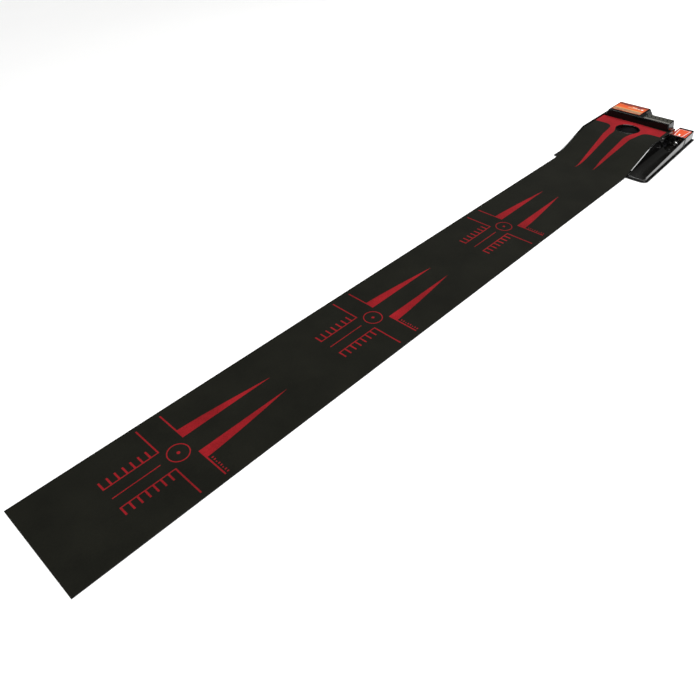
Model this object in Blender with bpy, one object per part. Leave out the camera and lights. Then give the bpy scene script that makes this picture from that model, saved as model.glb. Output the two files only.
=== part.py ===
# Practice putting mat with an automatic ball return.
#
# Metres, +Z up. The mat runs along +X, from the player's end to the cup. While the pieces are
# made, X counts from the mat's near end and Y from its centre line, with the ball return on the
# right, at -Y. The last step moves everything so that the origin lies in the middle of the
# object's underside.

import math

import bmesh
import bpy
from mathutils import Vector

# Clearances
GAP = 0.0003                # between pieces that rest on each other
MAT_SIDE_GAP = 0.0005       # between the mat's edges and the side walls
RUNNING_GAP = 0.0003        # round a sliding plunger

# Ball
BALL_RADIUS = 0.02135

# Mat
MAT_WIDTH = 0.300
MAT_THICKNESS = 0.004
MAT_FLAT_LENGTH = 2.380     # from its near end to the base plate's front edge
FOOT_BEND_RADIUS = 0.080

# Ramp and deck
RAMP_RUN = 0.189
FOOT_EDGE_HEIGHT = 0.0020   # of the ramp's front edge, above the base plate
DECK_HEIGHT = 0.061         # of the plastic deck under the mat, above the floor
DECK_RUN = 0.182            # from the knee to the front of the housing
KNEE_RADIUS = 0.030
SHELL_WALL = 0.003
SIDE_WALL = 0.004
SIDE_RAIL_RISE = 0.010      # of the side walls above the deck
WALL_SETBACK = 0.024        # of the side walls' front edge, behind the ramp's foot
WALL_FRONT_HEIGHT = 0.020
WALL_FRONT_FLAT = 0.007

# Cup
CUP_SETBACK = 0.081         # of the cup's centre, in front of the housing
MAT_HOLE_RADIUS = 0.0492
CUP_RING_WALL = 0.0025
CUP_LIP_RISE = 0.0006       # above the mat

# Base plate
PLATE_THICKNESS = 0.0025
PLATE_LIFT = 0.001          # of its underside above the floor
FLANGE_FRONT = 0.006
FLANGE_REAR = 0.008
FLANGE_LEFT = 0.0135
FLANGE_RIGHT = 0.0068
SIDE_TAPER = 0.0405         # the trough's side runs in towards the mat by this much per metre
FRONT_RIGHT_RADIUS = 0.025
PLATE_CORNER_RADIUS = 0.004

# Return trough
TROUGH_WIDTH = 0.071        # at its front end
TROUGH_WALL = 0.0035
TROUGH_FLOOR_HEIGHT = 0.0093
TROUGH_SKIN = 0.0025
TROUGH_DIP_FRONT = 0.0055
TROUGH_DIP_REAR = 0.0140
TROUGH_EDGE_FRONT = 0.0255  # height of its outer wall at the front
TROUGH_EDGE_REAR = 0.0440   # and at the rear
TROUGH_OVERRUN = 0.018      # of its rear end, past the front of the housing
EXIT_WIDTH = 0.056
EXIT_HEIGHT = 0.052         # top of the ball's way out, above the floor

# Ball chute
CHUTE_WALL = 0.002
CHUTE_SLOPE = 0.028
CHUTE_CUP_MARGIN = 0.003    # between the cup's wall and the chute's wall
CHUTE_MOUTH = 0.052         # clear width where the ball leaves

# Housing
HOUSING_DEPTH = 0.138
HOUSING_HEIGHT = 0.094
HOUSING_WALL = 0.0025
HOUSING_FILLET = 0.0025
HOUSING_CORNER = 0.006
HOUSING_END_DRAFT = 0.016
HOUSING_REAR_DRAFT = 0.018
BLOCK_SPLIT = -0.004        # Y where the deep left half ends, on top
BLOCK_SPLIT_DRAFT = 0.014
LEDGE_DEPTH = 0.060
LEDGE_DRAFT = 0.006
LEDGE_END_INSET = 0.012     # of the right end, inside the side wall
LEDGE_END_DRAFT = 0.004

# Labels
LABEL_THICKNESS = 0.0004
LABEL_FRONT_MARGIN = 0.020
LABEL_MARGIN = 0.006
LAUNCHER_LABEL_MARGIN = 0.004
LAUNCHER_LABEL_REAR = 0.020 # of its rear edge, in front of the launcher's rear end

# Launcher
LAUNCHER_OVERRUN = 0.035    # of its front face, past the front of the housing
LAUNCHER_HEIGHT = 0.042
LAUNCHER_WALL = 0.0022
LAUNCHER_FILLET = 0.002
LAUNCHER_DRAFT = 0.002
LAUNCHER_WINDOW_HALF = 0.012

# Kicker
KICKER_TRAVEL = 0.012
KICKER_HEIGHT = 0.0245
HEAD_RADIUS = 0.009
HEAD_LENGTH = 0.012
HEAD_OFFSET = -0.005        # of the head's face from the front of the housing
ROD_RADIUS = 0.003
PLUNGER_RADIUS = 0.0059
PLUNGER_LENGTH = 0.0445
TAIL_RADIUS = 0.0025
TAIL_LENGTH = 0.0265
COIL_RADIUS = 0.0125
COIL_LENGTH = 0.051
FRAME_SHEET = 0.002
CLIP_RADIUS = 0.005
CLIP_THICKNESS = 0.0012
SPRING_RADIUS = 0.0040
SPRING_WIRE = 0.0007
SPRING_TURNS = 5

# Ball switch
LEVER_LENGTH = 0.037
LEVER_REST_ANGLE = math.radians(12.0)
LEVER_SHEET = 0.0008
LEVER_HEIGHT = 0.006
SWITCH_LENGTH = 0.020
SWITCH_DEPTH = 0.010
SWITCH_HEIGHT = 0.0065
SWITCH_LEVEL = 0.022

# Batteries
CELL_RADIUS = 0.013
CELL_LENGTH = 0.050
NUB_RADIUS = 0.003
NUB_LENGTH = 0.0015
BATTERY_ROW_Y = 0.052       # centre of the two rows
BATTERY_BOX_WALL = 0.002
CONTACT_THICKNESS = 0.0006
DOOR_WIDTH = 0.058
DOOR_TONGUE = 0.002
DOOR_TONGUE_THICKNESS = 0.0009

# Circuit board
BOARD_SIZE = (0.042, 0.080, 0.0016)
BOARD_LEVEL = 0.012
CAPACITOR_RADIUS = 0.008
CAPACITOR_HEIGHT = 0.025

# Back wall
REAR_WALL = 0.0025
INLET_Y = 0.004
INLET_LEVEL = 0.030
INLET_RADIUS = 0.0055
INLET_FLANGE_RADIUS = 0.0075
INLET_BORE = 0.0032
ROCKER_Y = 0.105
ROCKER_LEVEL = 0.034
ROCKER_TILT = math.radians(8.0)
ROCKER_HALF = (0.0070, 0.0050)

# Fastenings
SCREW_SHANK = 0.00125
SCREW_HEAD = 0.0030
SCREW_LENGTH = 0.0085
BOSS_RADIUS = 0.005
FOOT_RADIUS = 0.008
FOOT_THICKNESS = 0.0017

# Places that follow from the sizes above
ramp_foot_x = MAT_FLAT_LENGTH + FLANGE_FRONT
knee_x = ramp_foot_x + RAMP_RUN
housing_x = knee_x + DECK_RUN
rear_x = housing_x + HOUSING_DEPTH
ledge_rear_x = housing_x + LEDGE_DEPTH + LEDGE_DRAFT
step_y = BLOCK_SPLIT - BLOCK_SPLIT_DRAFT
ledge_end_y = LEDGE_END_INSET - MAT_WIDTH / 2 - MAT_SIDE_GAP
launcher_side_y = ledge_end_y - GAP
plate_end_x = rear_x + FLANGE_REAR
cup_x = housing_x - CUP_SETBACK
plate_bottom = PLATE_LIFT
plate_top = PLATE_LIFT + PLATE_THICKNESS
seat = plate_top + GAP
wall_inside = MAT_WIDTH / 2 + MAT_SIDE_GAP
wall_outside = wall_inside + SIDE_WALL
rail_top = DECK_HEIGHT + SIDE_RAIL_RISE
trough_inside = -(wall_outside + GAP)
trough_outside = trough_inside - TROUGH_WIDTH
trough_centre = (trough_inside + trough_outside + TROUGH_WALL + SIDE_TAPER * (RAMP_RUN + DECK_RUN)) / 2
trough_end_x = housing_x + TROUGH_OVERRUN
flange_left = wall_outside + FLANGE_LEFT
flange_right = trough_outside - FLANGE_RIGHT
ramp_start_height = plate_top + FOOT_EDGE_HEIGHT
ramp_angle = math.atan2(DECK_HEIGHT - ramp_start_height, RAMP_RUN)
exit_rear_x = housing_x
exit_front_x = exit_rear_x - EXIT_WIDTH
launcher_x = housing_x + LAUNCHER_OVERRUN
right_wall_end_x = launcher_x - GAP
cup_ring_outer = MAT_HOLE_RADIUS - 2 * GAP
cup_ring_inner = cup_ring_outer - CUP_RING_WALL
deck_underside = DECK_HEIGHT - SHELL_WALL
boss_line = wall_inside - BOSS_RADIUS + 0.001
screw_places = [
    (ramp_foot_x + 0.054, boss_line),
    (ramp_foot_x + 0.054, -boss_line),
    (ramp_foot_x + 0.214, boss_line),
    (ramp_foot_x + 0.214, -boss_line),
    (rear_x - 0.045, boss_line),
    (ledge_rear_x - 0.012, ledge_end_y + REAR_WALL + BOSS_RADIUS - 0.001),
]
foot_places = [
    (MAT_FLAT_LENGTH + 0.030, flange_left - 0.014),
    (MAT_FLAT_LENGTH + 0.045, flange_right + 0.017),
    (plate_end_x - 0.020, flange_left - 0.014),
    (plate_end_x - 0.020, flange_right + SIDE_TAPER * (plate_end_x - 0.020 - ramp_foot_x) + 0.014),
]


def make_material(name, colour, roughness, metallic=0.0):
    material = bpy.data.materials.new(name)
    material.use_nodes = True
    shader = material.node_tree.nodes["Principled BSDF"]
    shader.inputs["Base Color"].default_value = (*colour, 1.0)
    shader.inputs["Roughness"].default_value = roughness
    shader.inputs["Metallic"].default_value = metallic
    material.diffuse_color = (*colour, 1.0)
    return material


def make_object(name, vertices, faces, origin=(0.0, 0.0, 0.0)):
    """A closed mesh with its faces pointing out, and its origin at the given point."""
    start = Vector(origin)
    mesh = bpy.data.meshes.new(name)
    mesh.from_pydata([Vector(v) - start for v in vertices], [], faces)
    work = bmesh.new()
    work.from_mesh(mesh)
    bmesh.ops.recalc_face_normals(work, faces=work.faces)
    work.to_mesh(mesh)
    work.free()
    piece = bpy.data.objects.new(name, mesh)
    piece.location = start
    bpy.context.scene.collection.objects.link(piece)
    return piece


def finish(piece, material, smooth_angle=30.0):
    piece.data.materials.clear()
    piece.data.materials.append(material)
    piece.data.shade_smooth()
    piece.data.set_sharp_from_angle(angle=math.radians(smooth_angle))
    return piece


def loft(name, rings, origin=(0.0, 0.0, 0.0)):
    """A solid between rings of as many points each, with flat ends."""
    count = len(rings[0])
    vertices = [point for ring in rings for point in ring]
    faces = []
    for level in range(len(rings) - 1):
        low = level * count
        high = low + count
        for i in range(count):
            j = (i + 1) % count
            faces.append((low + i, low + j, high + j, high + i))
    last = (len(rings) - 1) * count
    faces.append(tuple(range(count)))
    faces.append(tuple(range(last, last + count)))
    return make_object(name, vertices, faces, origin)


def prism_along_y(name, outline, y_low, y_high, origin=(0.0, 0.0, 0.0)):
    rings = [[(x, y, z) for x, z in outline] for y in (y_low, y_high)]
    return loft(name, rings, origin)


def prism_along_z(name, outline, z_low, z_high, origin=(0.0, 0.0, 0.0)):
    rings = [[(x, y, z) for x, y in outline] for z in (z_low, z_high)]
    return loft(name, rings, origin)


def box(name, x_range, y_range, z_range, origin=(0.0, 0.0, 0.0)):
    outline = [(x_range[0], y_range[0]), (x_range[1], y_range[0]), (x_range[1], y_range[1]), (x_range[0], y_range[1])]
    return prism_along_z(name, outline, z_range[0], z_range[1], origin)


def turned(name, profile, axis, centre, steps=32, origin=None):
    """A closed outline of (radius, distance along the axis), turned round an axis through centre."""
    vertices = []
    count = len(profile)
    for k in range(steps):
        angle = 2 * math.pi * k / steps
        across = math.cos(angle)
        up = math.sin(angle)
        for radius, along in profile:
            if axis == "x":
                vertices.append((centre[0] + along, centre[1] + radius * across, centre[2] + radius * up))
            else:
                vertices.append((centre[0] + radius * across, centre[1] + radius * up, centre[2] + along))
    faces = []
    for k in range(steps):
        this = k * count
        after = (k + 1) % steps * count
        for i in range(count):
            j = (i + 1) % count
            faces.append((this + i, this + j, after + j, after + i))
    piece = make_object(name, vertices, faces, origin or (0.0, 0.0, 0.0))
    weld(piece)
    return piece


def weld(piece):
    """Joins the points that fall together on the axis of a turned piece."""
    work = bmesh.new()
    work.from_mesh(piece.data)
    bmesh.ops.remove_doubles(work, verts=work.verts, dist=0.000001)
    bmesh.ops.recalc_face_normals(work, faces=work.faces)
    work.to_mesh(piece.data)
    work.free()


def rod(name, radius, along, axis, centre, steps=32):
    """A plain cylinder from along[0] to along[1]."""
    profile = [(0.0, along[0]), (radius, along[0]), (radius, along[1]), (0.0, along[1])]
    return turned(name, profile, axis, centre, steps)


def combine(target, others, operation):
    for other in others:
        modifier = target.modifiers.new("combine", "BOOLEAN")
        modifier.operation = operation
        modifier.solver = "EXACT"
        modifier.object = other
        evaluated = target.evaluated_get(bpy.context.evaluated_depsgraph_get())
        mesh = bpy.data.meshes.new_from_object(evaluated)
        target.modifiers.clear()
        target.data = mesh
        bpy.data.objects.remove(other)
    return target


def cut(target, *cutters):
    return combine(target, cutters, "DIFFERENCE")


def join(target, *others):
    return combine(target, others, "UNION")


def rounded_outline(x_range, y_range, radii, steps=5):
    """A rectangle with its own radius at each corner: low-low, high-low, high-high, low-high."""
    corners = [
        (x_range[0], y_range[0], 1, 1, math.pi),
        (x_range[1], y_range[0], -1, 1, 1.5 * math.pi),
        (x_range[1], y_range[1], -1, -1, 0.0),
        (x_range[0], y_range[1], 1, -1, 0.5 * math.pi),
    ]
    points = []
    for (x, y, inward_x, inward_y, start), radius in zip(corners, radii):
        for k in range(steps + 1):
            angle = start + 0.5 * math.pi * k / steps
            centre_x = x + inward_x * radius
            centre_y = y + inward_y * radius
            points.append((centre_x + radius * math.cos(angle), centre_y + radius * math.sin(angle)))
    return points


def rounded_block(name, bottom, top, z_low, z_high, corner, fillet, fillet_steps=3):
    """A block that tapers from the rectangle bottom to top, each (x range, y range), with a
    rounded upper edge."""

    def ring(share, inset, z):
        low_x, high_x = (a + (b - a) * share for a, b in zip(bottom[0], top[0]))
        low_y, high_y = (a + (b - a) * share for a, b in zip(bottom[1], top[1]))
        radius = max(corner - inset, 0.0005)
        outline = rounded_outline((low_x + inset, high_x - inset), (low_y + inset, high_y - inset), [radius] * 4)
        return [(x, y, z) for x, y in outline]

    height = z_high - z_low
    rings = [ring(0.0, 0.0, z_low)]
    for k in range(fillet_steps + 1):
        angle = 0.5 * math.pi * k / fillet_steps
        z = z_high - fillet + fillet * math.sin(angle)
        rings.append(ring((z - z_low) / height, fillet * (1 - math.cos(angle)), z))
    return loft(name, rings)


def knee_arc(offset, steps=6):
    """Points round the knee, at a distance outside the plastic surface."""
    centre_x = knee_x + KNEE_RADIUS * math.tan(ramp_angle / 2)
    centre_z = DECK_HEIGHT - KNEE_RADIUS
    points = []
    for k in range(steps + 1):
        angle = 0.5 * math.pi + ramp_angle * (1 - k / steps)
        reach = KNEE_RADIUS + offset
        points.append((centre_x + reach * math.cos(angle), centre_z + reach * math.sin(angle)))
    return points


def foot_arc(offset, steps=6):
    """Points round the bend where the mat leaves the floor, at a distance above its underside."""
    rise = ramp_start_height + GAP / math.cos(ramp_angle)
    meeting_x = ramp_foot_x - rise / math.tan(ramp_angle)
    centre_x = meeting_x - FOOT_BEND_RADIUS * math.tan(ramp_angle / 2)
    points = []
    for k in range(steps + 1):
        angle = -0.5 * math.pi + ramp_angle * k / steps
        reach = FOOT_BEND_RADIUS - offset
        points.append((centre_x + reach * math.cos(angle), FOOT_BEND_RADIUS + reach * math.sin(angle)))
    return points


def make_mat(material):
    def side(offset):
        start = [(0.0, offset)]
        end = [(housing_x - GAP, DECK_HEIGHT + GAP + offset)]
        return start + foot_arc(offset) + knee_arc(GAP + offset) + end

    outline = side(0.0) + side(MAT_THICKNESS)[::-1]
    mat = prism_along_y("mat", outline, -MAT_WIDTH / 2, MAT_WIDTH / 2)
    hole = rod("mat_hole", MAT_HOLE_RADIUS, (0.0, DECK_HEIGHT), "z", (cup_x, 0.0, DECK_HEIGHT / 2), 48)
    return finish(cut(mat, hole), material)


def tapered(x, y):
    """A point of an outline, moved along with the trough's side if it lies out there."""
    if y > trough_inside - 0.02:
        return (x, y)
    return (x, y + SIDE_TAPER * max(x - ramp_foot_x, 0.0))


def make_base_plate(material):
    x_range = (MAT_FLAT_LENGTH, plate_end_x)
    y_range = (flange_right, flange_left)
    radii = [FRONT_RIGHT_RADIUS, PLATE_CORNER_RADIUS, PLATE_CORNER_RADIUS, PLATE_CORNER_RADIUS]
    outline = [tapered(x, y) for x, y in rounded_outline(x_range, y_range, radii, 6)]
    plate = prism_along_z("base_plate", outline, plate_bottom, plate_top)

    # Posts for the circuit board and the ball switch
    for x, y in board_post_places():
        plate = join(plate, rod("post", 0.003, (plate_bottom + 0.001, BOARD_LEVEL - GAP), "z", (x, y, 0.0), 16))
    switch_x, switch_y = switch_ranges()
    plate = join(plate, box("switch_post", switch_x, switch_y, (plate_bottom + 0.001, SWITCH_LEVEL - GAP)))

    # The battery door's way, open at the rear, with a groove down each side
    door_x, door_y, tongue_z = door_ranges()
    way_x = (door_x[0] - GAP, plate_end_x + 0.01)
    way_y = (door_y[0] - GAP, door_y[1] + GAP)
    groove_y = (way_y[0] - DOOR_TONGUE, way_y[1] + DOOR_TONGUE)
    groove_z = (tongue_z[0] - GAP, tongue_z[1] + GAP)
    plate = cut(plate, box("way", way_x, way_y, (-0.01, 0.01)), box("groove", way_x, groove_y, groove_z))

    # Screw holes with room for the heads, and shallow seats for the feet
    for x, y in screw_places:
        profile = [
            (0.0, -0.001),
            (SCREW_HEAD + GAP, -0.001),
            (SCREW_HEAD + GAP, plate_bottom + 0.0013 + GAP),
            (SCREW_SHANK + 2 * GAP, plate_bottom + 0.0013 + GAP),
            (SCREW_SHANK + 2 * GAP, plate_top + 0.001),
            (0.0, plate_top + 0.001),
        ]
        plate = cut(plate, turned("screw_hole", profile, "z", (x, y, 0.0), 20))
    for x, y in foot_places:
        depth = FOOT_THICKNESS + GAP
        plate = cut(plate, rod("foot_seat", FOOT_RADIUS + GAP, (-0.001, depth), "z", (x, y, 0.0), 24))
    return finish(plate, material)


def side_wall_outline(end_x):
    front_x = ramp_foot_x + WALL_SETBACK
    rise_x = front_x + WALL_FRONT_FLAT
    return [
        (front_x, seat),
        (front_x, WALL_FRONT_HEIGHT),
        (rise_x, WALL_FRONT_HEIGHT),
        (knee_x, rail_top),
        (end_x, rail_top),
        (end_x, seat),
    ]


def make_upper_shell(material):
    top = [(ramp_foot_x, seat), (ramp_foot_x, ramp_start_height)] + knee_arc(0.0) + [(housing_x + 0.004, DECK_HEIGHT)]
    under = knee_arc(-SHELL_WALL)[::-1]
    toe_x = ramp_foot_x + (seat - ramp_start_height) / math.tan(ramp_angle) + SHELL_WALL / math.sin(ramp_angle)
    outline = top + [(housing_x + 0.004, deck_underside)] + under + [(toe_x, seat)]
    reach = wall_inside + 0.001
    shell = prism_along_y("upper_shell", outline, -reach, reach)
    upright = (seat, DECK_HEIGHT)
    step = (step_y, step_y + REAR_WALL)
    end = (ledge_end_y, ledge_end_y + REAR_WALL)
    corner_x = right_wall_end_x - REAR_WALL
    walls = [
        prism_along_y("left_wall", side_wall_outline(rear_x), wall_inside, wall_outside),
        prism_along_y("right_wall", side_wall_outline(right_wall_end_x), -wall_outside, -wall_inside),
        box("rear_wall", (rear_x - REAR_WALL, rear_x), (step[0], wall_outside - 0.001), upright),
        box("step_wall", (ledge_rear_x - REAR_WALL, rear_x - 0.001), step, upright),
        box("ledge_wall", (ledge_rear_x - REAR_WALL, ledge_rear_x), (end[0], step[1] - 0.001), upright),
        box("end_wall", (corner_x, ledge_rear_x - 0.001), end, upright),
        box("corner_wall", (corner_x, right_wall_end_x), (-wall_outside + 0.001, end[1] - 0.001), upright),
        box("corner_deck", (housing_x, right_wall_end_x), (-reach, end[1]), (deck_underside, DECK_HEIGHT)),
    ]
    shell = join(shell, *walls)

    for x, y in screw_places:
        boss_top = min(seat + SCREW_LENGTH + 0.003, deck_underside)
        place = (x, y, 0.0)
        shell = join(shell, rod("boss", BOSS_RADIUS, (seat, boss_top), "z", place, 20))
        shell = cut(shell, rod("boss_hole", SCREW_SHANK + GAP, (0.0, seat + SCREW_LENGTH), "z", place, 16))

    hole = rod("deck_hole", cup_ring_outer + GAP, (0.0, 0.02), "z", (cup_x, 0.0, DECK_HEIGHT - 0.01), 48)
    ball_exit = box(
        "ball_exit",
        (exit_front_x, exit_rear_x),
        (-wall_outside - 0.01, -wall_inside + 0.0005),
        (0.0, EXIT_HEIGHT),
    )
    shell = cut(shell, hole, ball_exit)

    inlet = rod("inlet_hole", INLET_RADIUS + GAP, (-0.01, 0.01), "x", (rear_x, INLET_Y, INLET_LEVEL), 24)
    bezel = bezel_size()
    window = box(
        "rocker_window",
        (rear_x - 0.01, rear_x + 0.01),
        (ROCKER_Y - bezel[0] - GAP, ROCKER_Y + bezel[0] + GAP),
        (ROCKER_LEVEL - bezel[1] - GAP, ROCKER_LEVEL + bezel[1] + GAP),
    )
    return finish(cut(shell, inlet, window), material)


def trough_section(x, low):
    """The trough's outline across Y and Z at a place along it: a hollow floor and an outer wall."""
    share = (x - ramp_foot_x) / (trough_end_x - ramp_foot_x)
    dip = TROUGH_DIP_FRONT + (TROUGH_DIP_REAR - TROUGH_DIP_FRONT) * share
    edge = TROUGH_EDGE_FRONT + (TROUGH_EDGE_REAR - TROUGH_EDGE_FRONT) * share
    side = tapered(x, trough_outside)[1]
    wall_face = side + TROUGH_WALL
    half = (trough_inside - wall_face) / 2
    middle = (trough_inside + wall_face) / 2
    steps = 12
    points = []
    for k in range(steps + 1):
        across = 1 - 2 * k / steps
        z = TROUGH_FLOOR_HEIGHT + dip * across * across
        points.append((x, middle + half * across, z))
    points.append((x, wall_face, edge))
    points.append((x, side + 0.0008, edge))
    points.append((x, side, edge - 0.0008))
    points.append((x, side, low))
    points.append((x, trough_inside, low))
    return points


def trough_hollow_section(x):
    """The same floor and wall, one skin thickness lower, for the hollow underneath."""
    share = (x - ramp_foot_x) / (trough_end_x - ramp_foot_x)
    dip = TROUGH_DIP_FRONT + (TROUGH_DIP_REAR - TROUGH_DIP_FRONT) * share
    side = tapered(x, trough_outside)[1]
    low_y = side + TROUGH_SKIN
    high_y = trough_inside - TROUGH_SKIN
    half = (trough_inside - side - TROUGH_WALL) / 2
    middle = (trough_inside + side + TROUGH_WALL) / 2
    steps = 10
    points = []
    for k in range(steps + 1):
        y = high_y + (low_y - high_y) * k / steps
        across = max(min((y - middle) / half, 1.0), -1.0)
        points.append((x, y, TROUGH_FLOOR_HEIGHT - TROUGH_SKIN + dip * across * across * 0.8))
    points.append((x, low_y, 0.0))
    points.append((x, high_y, 0.0))
    return points


def make_return_trough(material):
    stations = [ramp_foot_x + (trough_end_x - ramp_foot_x) * k / 4 for k in range(5)]
    trough = loft("return_trough", [trough_section(x, seat) for x in stations])
    inner = [ramp_foot_x + TROUGH_SKIN, trough_end_x - TROUGH_SKIN]
    trough = cut(trough, loft("trough_hollow", [trough_hollow_section(x) for x in inner]))
    landing = box(
        "landing",
        (exit_front_x, exit_rear_x),
        (trough_centre, trough_inside + 0.01),
        (TROUGH_FLOOR_HEIGHT, 0.06),
    )
    return finish(cut(trough, landing), material)


def chute_plan(grow):
    """The chute seen from above, from round the cup to the ball's way out."""
    half_cup = cup_ring_inner + CHUTE_CUP_MARGIN + grow
    mouth_high_x = exit_rear_x - 0.0045 + grow
    mouth_low_x = exit_rear_x - 0.0045 - CHUTE_MOUTH + 0.002 - grow
    mouth_y = -wall_inside + GAP
    return [
        (cup_x - half_cup, half_cup),
        (cup_x - half_cup, grow - half_cup + 0.0041),
        (mouth_low_x, mouth_y + 0.015),
        (mouth_low_x, mouth_y),
        (mouth_high_x, mouth_y),
        (mouth_high_x, pivot_place()[1] + 0.0315),
        (cup_x + half_cup, grow - half_cup + 0.0191),
        (cup_x + half_cup, half_cup),
    ]


def chute_floor(y):
    return TROUGH_FLOOR_HEIGHT + 0.0003 + CHUTE_SLOPE * (y + wall_inside)


def make_ball_chute(material):
    top = deck_underside - GAP
    chute = prism_along_z("ball_chute", chute_plan(CHUTE_WALL), seat, top)

    def sloped(name, outline, offset, z_far):
        rings = [
            [(x, y, chute_floor(y) + offset) for x, y in outline],
            [(x, y, z_far) for x, y in outline],
        ]
        return loft(name, rings)

    inside = chute_plan(0.0)
    way_out = [(x, y - 0.01 if abs(y + wall_inside - GAP) < 1e-6 else y) for x, y in inside]
    channel = sloped("channel", way_out, 0.0, top + 0.01)
    underside = sloped("underside", inside, -CHUTE_WALL, 0.0)
    lever_slot = box(
        "lever_slot",
        (exit_rear_x - 0.012, exit_rear_x + 0.01),
        (-wall_inside - 0.0095, pivot_place()[1] + 0.003),
        (SWITCH_LEVEL - 0.003, top + 0.01),
    )
    return finish(cut(chute, channel, underside, lever_slot), material)


def make_cup_ring(material):
    top = DECK_HEIGHT + GAP + MAT_THICKNESS + CUP_LIP_RISE
    outer = cup_ring_outer
    inner = cup_ring_inner
    soft = 0.0006
    profile = [
        (inner, deck_underside + GAP),
        (outer, deck_underside + GAP),
        (outer, top - soft),
        (outer - soft, top),
        (inner + 2 * soft, top),
        (inner, top - 2 * soft),
    ]
    return finish(turned("cup_ring", profile, "z", (cup_x, 0.0, 0.0), 64), material)


def housing_blocks(inset):
    """The housing's deep left half, its shallow right half and its low skirt, shrunk by inset."""
    base_z = DECK_HEIGHT + GAP - (0.01 if inset else 0.0)
    top_z = HOUSING_HEIGHT - inset
    side = wall_inside - GAP
    top_side = side - HOUSING_END_DRAFT + 0.001
    rear = rear_x - 0.001
    left = (
        ((housing_x + inset, rear - inset), (step_y + inset, side - inset)),
        ((housing_x + inset, rear - HOUSING_REAR_DRAFT - inset), (BLOCK_SPLIT + inset, top_side - inset)),
    )
    right = (
        ((housing_x + inset, ledge_rear_x - inset), (ledge_end_y + inset, BLOCK_SPLIT + 0.03)),
        ((housing_x + inset, ledge_rear_x - LEDGE_DRAFT - inset), (ledge_end_y + LEDGE_END_DRAFT + inset, BLOCK_SPLIT + 0.03)),
    )
    corner = max(HOUSING_CORNER - inset, 0.001)
    fillet = max(HOUSING_FILLET - inset, 0.0008)
    return [
        rounded_block("left_block", left[0], left[1], base_z, top_z, corner, fillet),
        rounded_block("right_block", right[0], right[1], base_z, top_z, corner, fillet),
    ]


def make_housing_cover(material):
    left, right = housing_blocks(0.0)
    side = wall_inside - GAP
    base = DECK_HEIGHT + GAP
    cover = join(left, right)
    cover.name = "housing_cover"
    cover = cut(cover, *housing_blocks(HOUSING_WALL))
    return finish(cover, material)


def make_launcher_cover(material):
    bottom = ((launcher_x, rear_x - GAP), (trough_outside, launcher_side_y))
    top = ((launcher_x + 0.001, rear_x - 0.001), (trough_outside + LAUNCHER_DRAFT, launcher_side_y - 0.002))
    cover = rounded_block("launcher_cover", bottom, top, seat, LAUNCHER_HEIGHT, 0.004, LAUNCHER_FILLET)
    wall = LAUNCHER_WALL
    hollow = [tuple((low + wall, high - wall) for low, high in level) for level in (bottom, top)]
    cavity = rounded_block("cavity", hollow[0], hollow[1], 0.0, LAUNCHER_HEIGHT - wall, 0.002, 0.0008)
    for block in (cover, cavity):
        for vertex in block.data.vertices:
            vertex.co.y = tapered(vertex.co.x, vertex.co.y)[1]
    window = box(
        "window",
        (launcher_x - 0.01, launcher_x + 0.01),
        (trough_centre - LAUNCHER_WINDOW_HALF, trough_centre + LAUNCHER_WINDOW_HALF),
        (KICKER_HEIGHT - LAUNCHER_WINDOW_HALF, KICKER_HEIGHT + LAUNCHER_WINDOW_HALF),
    )
    return finish(cut(cover, cavity, window), material)


def make_labels(material):
    side = wall_inside - GAP
    x_range = (housing_x + LABEL_FRONT_MARGIN, rear_x - 0.001 - HOUSING_REAR_DRAFT - LABEL_MARGIN)
    y_range = (BLOCK_SPLIT + LABEL_MARGIN, side - HOUSING_END_DRAFT + 0.001 - LABEL_MARGIN)
    level = HOUSING_HEIGHT + GAP
    outline = rounded_outline(x_range, y_range, [0.004] * 4)
    finish(prism_along_z("main_label", outline, level, level + LABEL_THICKNESS), material)

    margin = LAUNCHER_LABEL_MARGIN
    x_range = (launcher_x + margin, rear_x - LAUNCHER_LABEL_REAR)
    y_range = (trough_outside + LAUNCHER_DRAFT + margin, launcher_side_y - 0.002 - margin)
    level = LAUNCHER_HEIGHT + GAP
    outline = [tapered(x, y) for x, y in rounded_outline(x_range, y_range, [0.002] * 4)]
    finish(prism_along_z("launcher_label", outline, level, level + LABEL_THICKNESS), material)


def kicker_stations():
    """Places along X of the kicker and its solenoid, from the head's face to the clip."""
    face = housing_x + HEAD_OFFSET
    frame_front = launcher_x + LAUNCHER_WALL + 0.018
    coil_front = frame_front + FRAME_SHEET + GAP
    coil_rear = coil_front + COIL_LENGTH
    frame_rear = coil_rear + GAP + FRAME_SHEET
    core_rear = coil_rear - 0.006
    tail_end = core_rear + TAIL_LENGTH
    return {
        "face": face,
        "frame_front": frame_front,
        "coil_front": coil_front,
        "coil_rear": coil_rear,
        "frame_rear": frame_rear,
        "core_front": core_rear - PLUNGER_LENGTH,
        "core_rear": core_rear,
        "tail_end": tail_end,
        "clip": tail_end - 0.0025,
    }


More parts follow.
